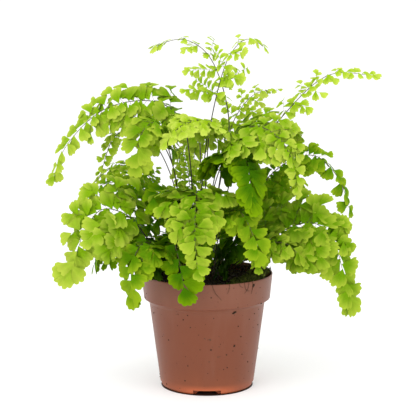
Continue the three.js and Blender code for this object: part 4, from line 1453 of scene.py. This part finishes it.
@dataclass
class Fern:
    """All the fronds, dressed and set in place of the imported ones.

    Attributes:
        size_variation: How unlike in size leaflets of one age are.
        tilt: How far a leaflet may be turned from its stance about each axis, in radians.
        wire_sides: The number of sides round a stem.
    """

    # One leaf material per tone: partly leaflets of different age, partly lit and shaded copies that paint
    # the light and shade each frond stands in; the darkest is wholly painted shade.
    FINISHES: ClassVar[tuple[LeafFinish, ...]] = (
        LeafFinish(Tone.PALE, (0.36, 0.57, 0.005), (0.70, 0.80, 0.13), (0.62, 0.84, 0.012)),
        LeafFinish(Tone.FRESH, (0.24, 0.455, 0.002), (0.62, 0.71, 0.09), (0.50, 0.77, 0.005)),
        LeafFinish(Tone.GREEN, (0.165, 0.36, 0.001), (0.55, 0.66, 0.06), (0.41, 0.71, 0.002)),
        LeafFinish(Tone.FULL, (0.105, 0.28, 0.001), (0.42, 0.57, 0.02), (0.31, 0.61, 0.002)),
        LeafFinish(Tone.DEEP, (0.058, 0.20, 0.001), (0.28, 0.46, 0.004), (0.20, 0.48, 0.001)),
        LeafFinish(Tone.DARK, (0.02, 0.07, 0.001), (0.07, 0.16, 0.004), (0.06, 0.16, 0.001)),
    )

    size_variation: float = 0.14
    tilt: float = 0.32
    wire_sides: int = 6

    def build(self) -> None:
        """Grows every frond as a piece of wires and a piece of leaflets."""
        kinds = bpy.data.collections.new("leaflet_kinds")
        for shape in LEAFLETS:
            kinds.objects.link(shape.build())
        leaf_finishes = {finish.tone: finish.build() for finish in self.FINISHES}
        stem_finish = StemFinish().build()
        set_leaflets, draw_wires = leaflets_rule(), wires_rule()
        for seed, plan in enumerate(FRONDS):
            growth = Frond(plan, seed).grow()
            stalks = mesh_object(f"{plan.name}_stalks", growth.wires_mesh(plan.name))
            draw_wires.apply(stalks, Finish=stem_finish, Sides=self.wire_sides)
            hand_in(stalks, "stem", plan.name)
            leaves = mesh_object(f"{plan.name}_leaflets", growth.leaflets_mesh(plan.name))
            set_leaflets.apply(leaves, Leaflets=kinds, Finish=leaf_finishes[plan.tone],
                               Size_Variation=self.size_variation, Tilt=self.tilt, Seed=seed)
            hand_in(leaves, plan.tone.slot, plan.name)


@dataclass
class Pot:
    """The nursery pot, turned fine: rim, band, step, tapered wall, foot ring with notches, drained floor.

    Sizes are in millimetres. band_inset is how much narrower the band is at its foot than the rim, lip the
    height of the rim's rolled edge, corner the offset of the step's corners, soft the radius of soft edges,
    ring_inner the inner radius of the foot ring, pad_radius the radius of the level pad in its middle,
    slope how much pad and ring slope, drain_circle the radius of the circle of holes, and sharp the angle
    in degrees past which an edge stays sharp. The pot's height and its rim's radius come from the frame.
    """

    sides: int = 144
    band_height: float = 23.0
    band_inset: float = 2.2
    step_height: float = 3.5
    step_radius: float = 53.0
    foot_radius: float = 43.2
    foot_round: float = 5.0
    wall: float = 1.3
    lip: float = 1.4
    corner: float = 0.7
    soft: float = 0.6
    floor_rise: float = 5.0
    ring_inner: float = 36.5
    pad_radius: float = 20.0
    slope: float = 1.5
    notch_width: float = 25.0
    notch_height: float = 4.7
    notches: int = 4
    drain_radius: float = 4.0
    drain_circle: float = 28.5
    drains: int = 6
    drain_sides: int = 32
    sharp: float = 35.0
    height: float = field(init=False)
    rim: float = field(init=False)

    def __post_init__(self) -> None:
        """Reads the pot's height and rim from the frame."""
        low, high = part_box("pot")
        self.height = (high.z - low.z) / MM
        self.rim = (high.x - low.x) / 2 / MM

    @staticmethod
    def arc(centre: tuple[float, float], radius: float, start: float, end: float,
            steps: int) -> list[tuple[float, float]]:
        """Points of an arc in the profile, with angles in degrees from straight out."""
        angles = np.radians(np.linspace(start, end, steps + 1))
        return [(centre[0] + radius * math.cos(a), centre[1] + radius * math.sin(a)) for a in angles]

    def profile(self) -> list[tuple[float, float]]:
        """The pot's section, from the middle of its foot out, up, over the rim and back down inside.

        Returns:
            The radius and the height of each point.
        """
        corner, soft, slope, wall = self.corner, self.soft, self.slope, self.wall
        step = self.height - self.band_height
        ledge = step - self.step_height
        band = self.rim - self.band_inset
        foot = self.arc((self.foot_radius - self.foot_round, self.foot_round), self.foot_round, -90, -5, 8)
        shoulder = self.arc((band - soft, step + soft), soft, -90, 0, 4)
        rim = self.arc((self.rim - wall / 2, self.height - wall / 2), wall / 2, 0, 180, 8)
        outside = [
            (0, 0), (self.pad_radius, 0), (self.pad_radius + slope, self.floor_rise),
            (self.ring_inner - slope, self.floor_rise), (self.ring_inner, 0), *foot,
            (self.step_radius - 0.1, ledge - soft), (self.step_radius + 0.2, ledge),
            (self.step_radius + corner, ledge + corner), (band - corner - soft, step - corner / 2), *shoulder,
            (self.rim - 0.1, self.height - self.lip - 0.3), *rim,
        ]
        inside = [
            (band - wall, step + corner), (self.step_radius - wall, ledge + corner),
            (self.foot_radius - wall + corner / 2, self.floor_rise + wall + self.foot_round / 2),
            (self.foot_radius - wall - corner, self.floor_rise + wall),
            (self.pad_radius + slope - corner, self.floor_rise + wall),
            (self.pad_radius - corner, wall), (0, wall),
        ]
        return [*outside, *inside]

    def turned_shell(self) -> Object:
        """The closed shell, turned about Z.

        Returns:
            The shell's object.
        """
        points: list[Point] = []
        rings: list[list[int]] = []
        for radius, height in self.profile():
            first = len(points)
            if radius == 0:
                points.append((0.0, 0.0, height * MM))
                rings.append([first] * self.sides)
                continue
            for i in range(self.sides):
                angle = 2 * math.pi * i / self.sides
                points.append((radius * MM * math.cos(angle), radius * MM * math.sin(angle), height * MM))
            rings.append(list(range(first, first + self.sides)))
        faces: list[tuple[int, ...]] = []
        for lower, upper in zip(rings, rings[1:]):
            for i in range(self.sides):
                j = (i + 1) % self.sides
                faces.append(tuple(dict.fromkeys((lower[i], lower[j], upper[j], upper[i]))))
        return mesh_object("pot_shell", new_mesh("pot_shell", points, faces=faces))

    def cutter(self) -> Object:
        """The notches and drainage holes as one mesh to cut away.

        Returns:
            The cutter's object.
        """
        tool = bmesh.new()
        depth = 2 * (self.foot_radius - self.ring_inner + self.slope)
        size = Matrix.Diagonal((self.notch_width * MM, depth * MM, 2 * self.notch_height * MM, 1))
        ring = Matrix.Translation((0, -self.foot_radius * MM, 0))
        for i in range(self.notches):
            turn = Matrix.Rotation(2 * math.pi * i / self.notches, 4, "Z")
            bmesh.ops.create_cube(tool, matrix=turn @ ring @ size)
        radius = self.drain_radius * MM
        circle = Matrix.Translation((self.drain_circle * MM, 0, (self.floor_rise + self.wall / 2) * MM))
        for i in range(self.drains):
            turn = Matrix.Rotation(2 * math.pi * (i + 0.5) / self.drains, 4, "Z")
            bmesh.ops.create_cone(tool, cap_ends=True, segments=self.drain_sides, radius1=radius,
                                  radius2=radius, depth=4 * self.wall * MM, matrix=turn @ circle)
        return mesh_object("pot_cutter", mesh_of(tool, "pot_cutter"))

    def build(self) -> None:
        """Makes the pot and cuts its notches and holes."""
        shell, cutter = self.turned_shell(), self.cutter()
        cut = shell.modifiers.new("cut", "BOOLEAN")
        cut.object = cutter
        cut.operation = "DIFFERENCE"
        cut.solver = "EXACT"
        apply_modifiers(shell)
        bpy.data.objects.remove(cutter)
        keep_sharp(shell.data, self.sharp)
        shell.data.materials.append(PotFinish().build(self.height * MM))
        hand_in(shell, "pot", "pot")


@dataclass(frozen=True)
class Strewing:
    """How bits are strewn.

    Attributes:
        density: How many bits a square metre has where they lie thickest.
        smallest: The size of the smallest bit.
        largest: The size of the largest bit.
        lean: The most that a bit leans, in radians.
        seed: The seed of the draws.
    """

    density: float
    smallest: float
    largest: float
    lean: float
    seed: int


@dataclass
class Soil:
    """The soil's surface and what clings to the pot, in crumbs, moss, specks, lumps and dead roots.

    Sizes are in millimetres. The surface is a disc of rings and spokes at the height edge, with a mound at
    the crown and low waves of crumb_height and crumb_length. It ends wall_gap short of the pot's wall and
    lies over_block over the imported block. Moss is thickest at the angle moss_at and the share moss_reach of
    the rim's radius, and spreads by moss_arc round the rim and by moss_depth across. Heaps are highest at
    heap_reach and spread by heap_depth. strand and rootlet are the radii of a dead root at its two ends,
    front the front's angle.
    """

    PEAT: ClassVar[EarthFinish] = EarthFinish("soil", (0.01, 0.007, 0.004), (0.055, 0.035, 0.018))
    MOSS: ClassVar[EarthFinish] = EarthFinish("moss", (0.012, 0.018, 0.003), (0.15, 0.18, 0.025), 500.0, 0.2)
    DIRT: ClassVar[EarthFinish] = EarthFinish("dirt", (0.03, 0.017, 0.009), (0.12, 0.075, 0.04))
    CRUMBS: ClassVar[Strewing] = Strewing(420000.0, 0.8, 3.4, 1.5, 3)
    TUFTS: ClassVar[Strewing] = Strewing(800000.0, 1.6, 5.5, 0.6, 5)
    SPECKS: ClassVar[Strewing] = Strewing(9000.0, 0.35, 1.9, 0.3, 9)
    # Angle, spread and height of each heap against the rim.
    HEAPS: ClassVar[tuple[Point, ...]] = ((math.radians(-12), 0.5, 7.0), (math.radians(55), 0.6, 5.5))
    # Angle to the right of the front, height and size of each lump of dirt stuck to the pot.
    LUMPS: ClassVar[tuple[Point, ...]] = ((27.5, 78.0, 3.4), (43.6, 101.0, 2.8), (57.0, 82.0, 2.0),
                                          (-24.0, 79.0, 1.8), (30.0, 46.0, 1.8))
    # Angles and heights that each rootlet passes where it hangs over the rim and down the band.
    ROOTLETS: ClassVar[tuple[tuple[tuple[float, float], ...], ...]] = (
        ((4.0, 104.5), (5.5, 101.0), (7.5, 97.0), (12.5, 91.0)),
        ((19.0, 104.5), (19.0, 100.5), (17.5, 96.5)),
        ((33.0, 104.5), (34.5, 100.0), (36.0, 97.5), (39.5, 97.0)),
        ((38.0, 104.5), (37.0, 99.0), (34.0, 95.5)),
        ((42.0, 104.5), (42.5, 100.0), (41.5, 94.0)),
        ((28.0, 104.5), (29.5, 102.0), (32.0, 101.0)),
    )

    pot: Pot
    rings: int = 26
    spokes: int = 72
    wall_gap: float = 1.0
    over_block: float = 0.2
    edge: float = 97.5
    crown_rise: float = 3.5
    crown_spread: float = 26.0
    crumb_height: float = 0.8
    crumb_length: float = 22.0
    moss_at: float = math.radians(-25)
    moss_arc: float = 0.7
    moss_reach: float = 0.8
    moss_depth: float = 0.25
    moss_height: float = 4.5
    heap_reach: float = 0.96
    heap_depth: float = 0.16
    strands: int = 110
    strand: tuple[float, float] = (0.14, 0.08)
    rootlet: tuple[float, float] = (0.22, 0.12)
    front: float = math.radians(-90)
    radius: float = field(init=False)
    scatter: Rule = field(init=False)

    def __post_init__(self) -> None:
        """Fits the surface in the pot's rim."""
        self.radius = self.pot.rim - self.pot.wall - self.wall_gap
        self.scatter = scatter_rule()

    def moss_on(self, x: np.ndarray, y: np.ndarray) -> np.ndarray:
        """How mossy the surface is, from 0 to 1.

        Args:
            x: The places' X.
            y: Their Y.

        Returns:
            The shares of moss.
        """
        angle = np.arctan2(y, x) - self.moss_at
        reach = np.hypot(x, y) / self.pot.rim - self.moss_reach
        return np.exp(-((angle / self.moss_arc) ** 2) - (reach / self.moss_depth) ** 2)

    def height_at(self, x: np.ndarray, y: np.ndarray) -> np.ndarray:
        """The surface's height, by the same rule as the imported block's.

        Args:
            x: The places' X.
            y: Their Y.

        Returns:
            The heights.
        """
        crown = np.exp(-((x - CROWN[0]) ** 2 + (y - CROWN[1]) ** 2) / self.crown_spread**2)
        wave = 2 * math.pi / self.crumb_length
        crumbs = np.sin(wave * x) * np.sin(wave * y + 1) + np.sin(wave * (x - y) / 2) / 2
        moss = self.moss_height * self.moss_on(x, y)
        return self.edge + self.crown_rise * crown + moss + self.crumb_height * crumbs

    def heap_at(self, x: np.ndarray, y: np.ndarray) -> np.ndarray:
        """How high crumbs and moss are heaped on the surface against the rim.

        Args:
            x: The places' X.
            y: Their Y.

        Returns:
            The heights over the surface.
        """
        angle = np.arctan2(y, x)
        reach = np.hypot(x, y) / self.pot.rim - self.heap_reach
        rise = sum(height * np.exp(-(((angle - at) / spread) ** 2)) for at, spread, height in self.HEAPS)
        return rise * np.exp(-((reach / self.heap_depth) ** 2))

    def surface(self, name: str, share: Callable[[np.ndarray], np.ndarray]) -> Object:
        """A disc on the surface that says how thickly each point is strewn.

        Args:
            name: The piece's name.
            share: How thickly a point is strewn, from how mossy it is.

        Returns:
            The disc as an object.
        """
        flat: list[tuple[float, float]] = []
        for ring in range(self.rings + 1):
            for spoke in range(self.spokes):
                angle = 2 * math.pi * spoke / self.spokes
                radius = self.radius * max(ring, 0.05) / self.rings
                flat.append((radius * math.cos(angle), radius * math.sin(angle)))
        faces: list[tuple[int, ...]] = []
        for ring in range(self.rings):
            near, far = ring * self.spokes, (ring + 1) * self.spokes
            for spoke in range(self.spokes):
                other = (spoke + 1) % self.spokes
                faces.append((near + spoke, far + spoke, far + other, near + other))
        x, y = np.array(flat).T
        points = np.column_stack([x, y, self.height_at(x, y) + self.heap_at(x, y) + self.over_block]) * MM
        mesh = new_mesh(name, points, faces=faces)
        mark_points(mesh, "dense", share(self.moss_on(x, y)))
        return mesh_object(name, mesh)

    def strew(self, piece: Object, bits: Collection, finish: Material,
              how: Strewing, slot: str) -> None:
        """Strews bits over a piece, which they replace, and attaches it to the body.

        Args:
            piece: The surface, with how thickly each point is strewn.
            bits: The kinds of bit.
            finish: Their material.
            how: How they are strewn.
            slot: The piece's slot.
        """
        self.scatter.apply(piece, Bits=bits, Finish=finish, Density=how.density, Smallest=how.smallest * MM,
                           Largest=how.largest * MM, Lean=how.lean, Seed=how.seed)
        hand_in(piece, slot)

    def crumb_kinds(self) -> Collection:
        """Irregular crumbs about 1 across.

        Returns:
            The collection of crumbs.
        """
        kinds = bpy.data.collections.new("crumb_kinds")
        for seed in range(4):
            draw = np.random.default_rng(50 + seed)
            ball = bmesh.new()
            bmesh.ops.create_icosphere(ball, subdivisions=1, radius=0.5)
            for vertex in ball.verts:
                vertex.co *= float(draw.uniform(0.6, 1.1))
                vertex.co.z *= 0.7
            name = f"crumb_{seed}"
            kinds.objects.link(mesh_object(name, mesh_of(ball, name), linked=False))
        return kinds

    def tuft_kinds(self) -> Collection:
        """Tufts of moss about 1 high: a few short curved blades from one root.

        Returns:
            The collection of tufts.
        """
        kinds = bpy.data.collections.new("tuft_kinds")
        wide, blades = 0.13, 6
        for seed in range(3):
            draw = np.random.default_rng(70 + seed)
            points: list[np.ndarray] = []
            faces: list[tuple[int, ...]] = []
            for blade in range(blades):
                angle = 2 * math.pi * blade / blades + draw.uniform(-0.4, 0.4)
                lean, high = draw.uniform(0.25, 0.6), draw.uniform(0.6, 1.0)
                out = np.array([math.cos(angle), math.sin(angle), 0.0])
                side = np.array([-out[1], out[0], 0.0])
                low, middle = 0.04 * out, lean * 0.5 * out + 0.55 * high * UP
                first = len(points)
                points += [low - wide * side, low + wide * side, low + wide * out, middle - wide * side,
                           middle + wide * side, middle + wide * out, lean * out + high * UP]
                for a, b in ((0, 1), (1, 2), (2, 0)):
                    faces.append((first + b, first + a, first + a + 3, first + b + 3))
                    faces.append((first + b + 3, first + a + 3, first + 6))
                faces.append((first, first + 1, first + 2))
            name = f"tuft_{seed}"
            kinds.objects.link(mesh_object(name, new_mesh(name, points, faces=faces), linked=False))
        return kinds

    def specks(self, crumbs: Collection, finish: Material) -> None:
        """Crumbs of soil stuck to the outside of the pot.

        Args:
            crumbs: The kinds of crumb.
            finish: Their material.
        """
        pot = self.pot
        step = pot.height - pot.band_height - pot.step_height
        bands = (((pot.foot_radius, pot.foot_round), (pot.step_radius, step)),
                 ((pot.rim - pot.band_inset, step + pot.step_height + 1), (pot.rim, pot.height - pot.lip)))
        points: list[Point] = []
        faces: list[tuple[int, ...]] = []
        for band in bands:
            first = len(points)
            for spoke in range(self.spokes):
                angle = 2 * math.pi * spoke / self.spokes
                for radius, height in band:
                    points.append((radius * math.cos(angle) * MM, radius * math.sin(angle) * MM, height * MM))
                a, b = first + 2 * spoke, first + 2 * ((spoke + 1) % self.spokes)
                faces.append((a, b, b + 1, a + 1))
        mesh = new_mesh("pot_specks", points, faces=faces)
        mark_points(mesh, "dense", [1.0] * len(points))
        self.strew(mesh_object("pot_specks", mesh), crumbs, finish, self.SPECKS, "soil")

    def on_pot(self, degrees: float, height: float, proud: float) -> np.ndarray:
        """A place outside the pot.

        Args:
            degrees: Its angle to the right of the front.
            height: Its height.
            proud: How far it stands out of the wall.

        Returns:
            The place.
        """
        pot = self.pot
        step = pot.height - pot.band_height
        if height > step:
            radius = pot.rim - pot.band_inset * (pot.height - height) / pot.band_height
        else:
            radius = pot.foot_radius + (pot.step_radius - pot.foot_radius) * height / step
        angle = self.front + math.radians(degrees)
        return np.array([(radius + proud) * math.cos(angle), (radius + proud) * math.sin(angle), height])

    def lumps(self, finish: Material) -> None:
        """Lumps of dirt stuck to the outside of the pot, each of a few crumbs.

        Args:
            finish: Their material.
        """
        draw = np.random.default_rng(31)
        heap = bmesh.new()
        for degrees, height, size in self.LUMPS:
            for _ in range(7):
                aside, above = draw.normal(0.0, 0.2, 2) * size
                place = self.on_pot(degrees + aside, height + above, 0.0) * MM
                radius = size * draw.uniform(0.18, 0.36) * MM
                made = bmesh.ops.create_icosphere(heap, subdivisions=2, radius=radius)
                for vertex in made["verts"]:
                    vertex.co *= float(draw.uniform(0.8, 1.15))
                    vertex.co += Vector(place)
        mesh = mesh_of(heap, "pot_dirt")
        mesh.materials.append(finish)
        hand_in(mesh_object("pot_dirt", mesh), "soil")

    def add_strands(self, roots: Growth, draw: np.random.Generator) -> None:
        """Adds the fine strands that lie in the moss on the first heap.

        Args:
            roots: What they are added to.
            draw: Where their random values come from.
        """
        for _ in range(self.strands):
            angle = self.HEAPS[0][0] + draw.normal(-0.25, 0.5)
            reach = self.radius * draw.uniform(0.72, 1.0)
            x, y = reach * math.cos(angle), reach * math.sin(angle)
            here = np.array([x, y, float(self.height_at(x, y) + self.heap_at(x, y))])
            ahead = draw.normal(0.0, 1.0, 3) * (1.6, 1.6, 0.5)
            bend = draw.normal(0.0, 0.8, 3)
            path = SmoothPath([here, here + ahead + 1.2 * UP, here + 2 * ahead + bend + 0.6 * UP])
            run = path.run(np.linspace(0.0, path.length, 6))
            roots.add_wire(run, np.linspace(*self.strand, len(run)), draw.uniform(0.3, 1.0))

    def add_rootlets(self, roots: Growth) -> None:
        """Adds the dead roots that hang over the rim.

        Args:
            roots: What they are added to.
        """
        for turns in self.ROOTLETS:
            degrees, height = turns[0]
            start = self.on_pot(degrees, height, -6.0) - 3 * UP
            over = self.on_pot(degrees, height + 0.9, 0.0)
            path = SmoothPath([start, over, *(self.on_pot(*turn, 0.4) for turn in turns[1:])])
            run = path.run(np.linspace(0.0, path.length, 14))
            roots.add_wire(run, np.linspace(*self.rootlet, len(run)), 0.3)

    def rootlets(self, finish: Material) -> None:
        """Fine dead roots, in the moss and over the rim.

        Args:
            finish: Their material.
        """
        roots = Growth()
        self.add_strands(roots, np.random.default_rng(47))
        self.add_rootlets(roots)
        piece = mesh_object("rim_rootlets", roots.wires_mesh("rim_rootlets"))
        wires_rule().apply(piece, Finish=finish, Sides=5)
        hand_in(piece, "soil")

    def build(self) -> None:
        """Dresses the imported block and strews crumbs, moss and specks."""
        finish = self.PEAT.build()
        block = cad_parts["soil"]
        block.data.materials.clear()
        block.data.materials.append(finish)
        crumbs = self.crumb_kinds()
        strewn = self.surface("soil_crumbs", lambda moss: 1 - 0.5 * moss)
        self.strew(strewn, crumbs, finish, self.CRUMBS, "soil")
        green = self.MOSS.build()
        mossy = self.surface("rim_moss", lambda moss: np.clip(moss * 1.6 - 0.35, 0, 1))
        self.strew(mossy, self.tuft_kinds(), green, self.TUFTS, "moss")
        self.specks(crumbs, finish)
        dirt = self.DIRT.build()
        self.lumps(dirt)
        self.rootlets(dirt)


@dataclass(frozen=True)
class Studio:
    """White room, soft lights and the camera at the photograph's angle, in metres.

    Attributes:
        camera_at: The camera's place.
        camera_tilt: The camera's tilt from straight down, in degrees.
        lens: The camera's focal length in millimetres.
        sky: The strength of the white sky.
        aim: The point that the lamps face.
        floor_size: The width of the floor.
        floor_glow: How much the floor shines by itself, so that it looks white.
        painted_shadow_radius: The radius within which the floor is painted dark as the pot's shadow, which
            shows as a dark line round its foot and through its notches.
    """

    # Name, place, size and power of each lamp.
    LAMPS: ClassVar[tuple[tuple[str, Point, float, float], ...]] = (
        ("key", (-0.7, -1.1, 1.5), 1.2, 14.0), ("fill", (1.2, -0.7, 0.8), 1.4, 5.0),
    )

    camera_at: Point = (0.0009, -1.25, 0.351)
    camera_tilt: float = 81.5
    lens: float = 120.2
    sky: float = 1.08
    aim: Point = (0.0, 0.0, 0.16)
    floor_size: float = 40.0
    floor_glow: float = 0.28
    painted_shadow_radius: float = 0.0418

    def build(self) -> None:
        """Makes the camera, the lights, the sky and the floor."""
        self.camera()
        for name, place, size, power in self.LAMPS:
            self.lamp(name, place, size, power)
        world = bpy.data.worlds.new("white_room")
        world.use_nodes = True
        background = world.node_tree.nodes["Background"]
        background.inputs["Color"].default_value = (1, 1, 1, 1)
        background.inputs["Strength"].default_value = self.sky
        bpy.context.scene.world = world
        self.floor()

    def camera(self) -> None:
        """Sets the camera up."""
        scene = bpy.context.scene
        camera = bpy.data.cameras.new("camera")
        camera.lens = self.lens
        camera.clip_end = 100.0
        seat = bpy.data.objects.new("camera", camera)
        seat.location = self.camera_at
        seat.rotation_euler = Euler((math.radians(self.camera_tilt), 0, 0))
        scene.collection.objects.link(seat)
        scene.camera = seat
        scene.view_settings.view_transform = "Standard"

    def lamp(self, name: str, place: Point, size: float, power: float) -> None:
        """Adds a square soft light that faces the plant.

        Args:
            name: Its name.
            place: Its place.
            size: The length of its side.
            power: Its power in watts.
        """
        light = bpy.data.lights.new(name, "AREA")
        light.size = size
        light.energy = power
        lamp = bpy.data.objects.new(name, light)
        lamp.location = place
        lamp.rotation_euler = (Vector(self.aim) - Vector(place)).to_track_quat("-Z", "Y").to_euler()
        bpy.context.scene.collection.objects.link(lamp)

    def floor(self) -> None:
        """Lays the white floor, with a painted shadow: a dark disc under the pot."""
        half = self.floor_size / 2
        corners = [(-half, -half, 0), (half, -half, 0), (half, half, 0), (-half, half, 0)]
        mesh = new_mesh("floor", corners, faces=[(0, 1, 2, 3)])
        material, tree, shader = new_material("floor_white")
        away = tree.add("ShaderNodeVectorMath", {"operation": "LENGTH"}, Vector=tree.place())
        # Painted shadow: dark brown inside the radius, light grey outside it; the painted shadow gets no
        # glow.
        outside_painted_shadow = tree.ramp(tree.out(away, "Value"), self.painted_shadow_radius, self.painted_shadow_radius + 0.001)
        tree.feed(shader.inputs["Base Color"], tree.mix(outside_painted_shadow, (0.05, 0.018, 0.01), (0.72, 0.72, 0.72)))
        shader.inputs["Emission Color"].default_value = (1, 1, 1, 1)
        tree.feed(shader.inputs["Emission Strength"], tree.math("MULTIPLY", outside_painted_shadow, self.floor_glow))
        shader.inputs["Roughness"].default_value = 0.8
        mesh.materials.append(material)
        ground = mesh_object("floor", mesh)


def main() -> None:
    """Builds studio, pot, soil and fern in order; each piece is logged as it is attached to the body."""
    logging.basicConfig(level=logging.INFO, format="%(name)s: %(message)s")
    Studio().build()
    pot = Pot()
    pot.build()
    Soil(pot).build()
    Fern().build()


if __name__ == "__main__":
    main()
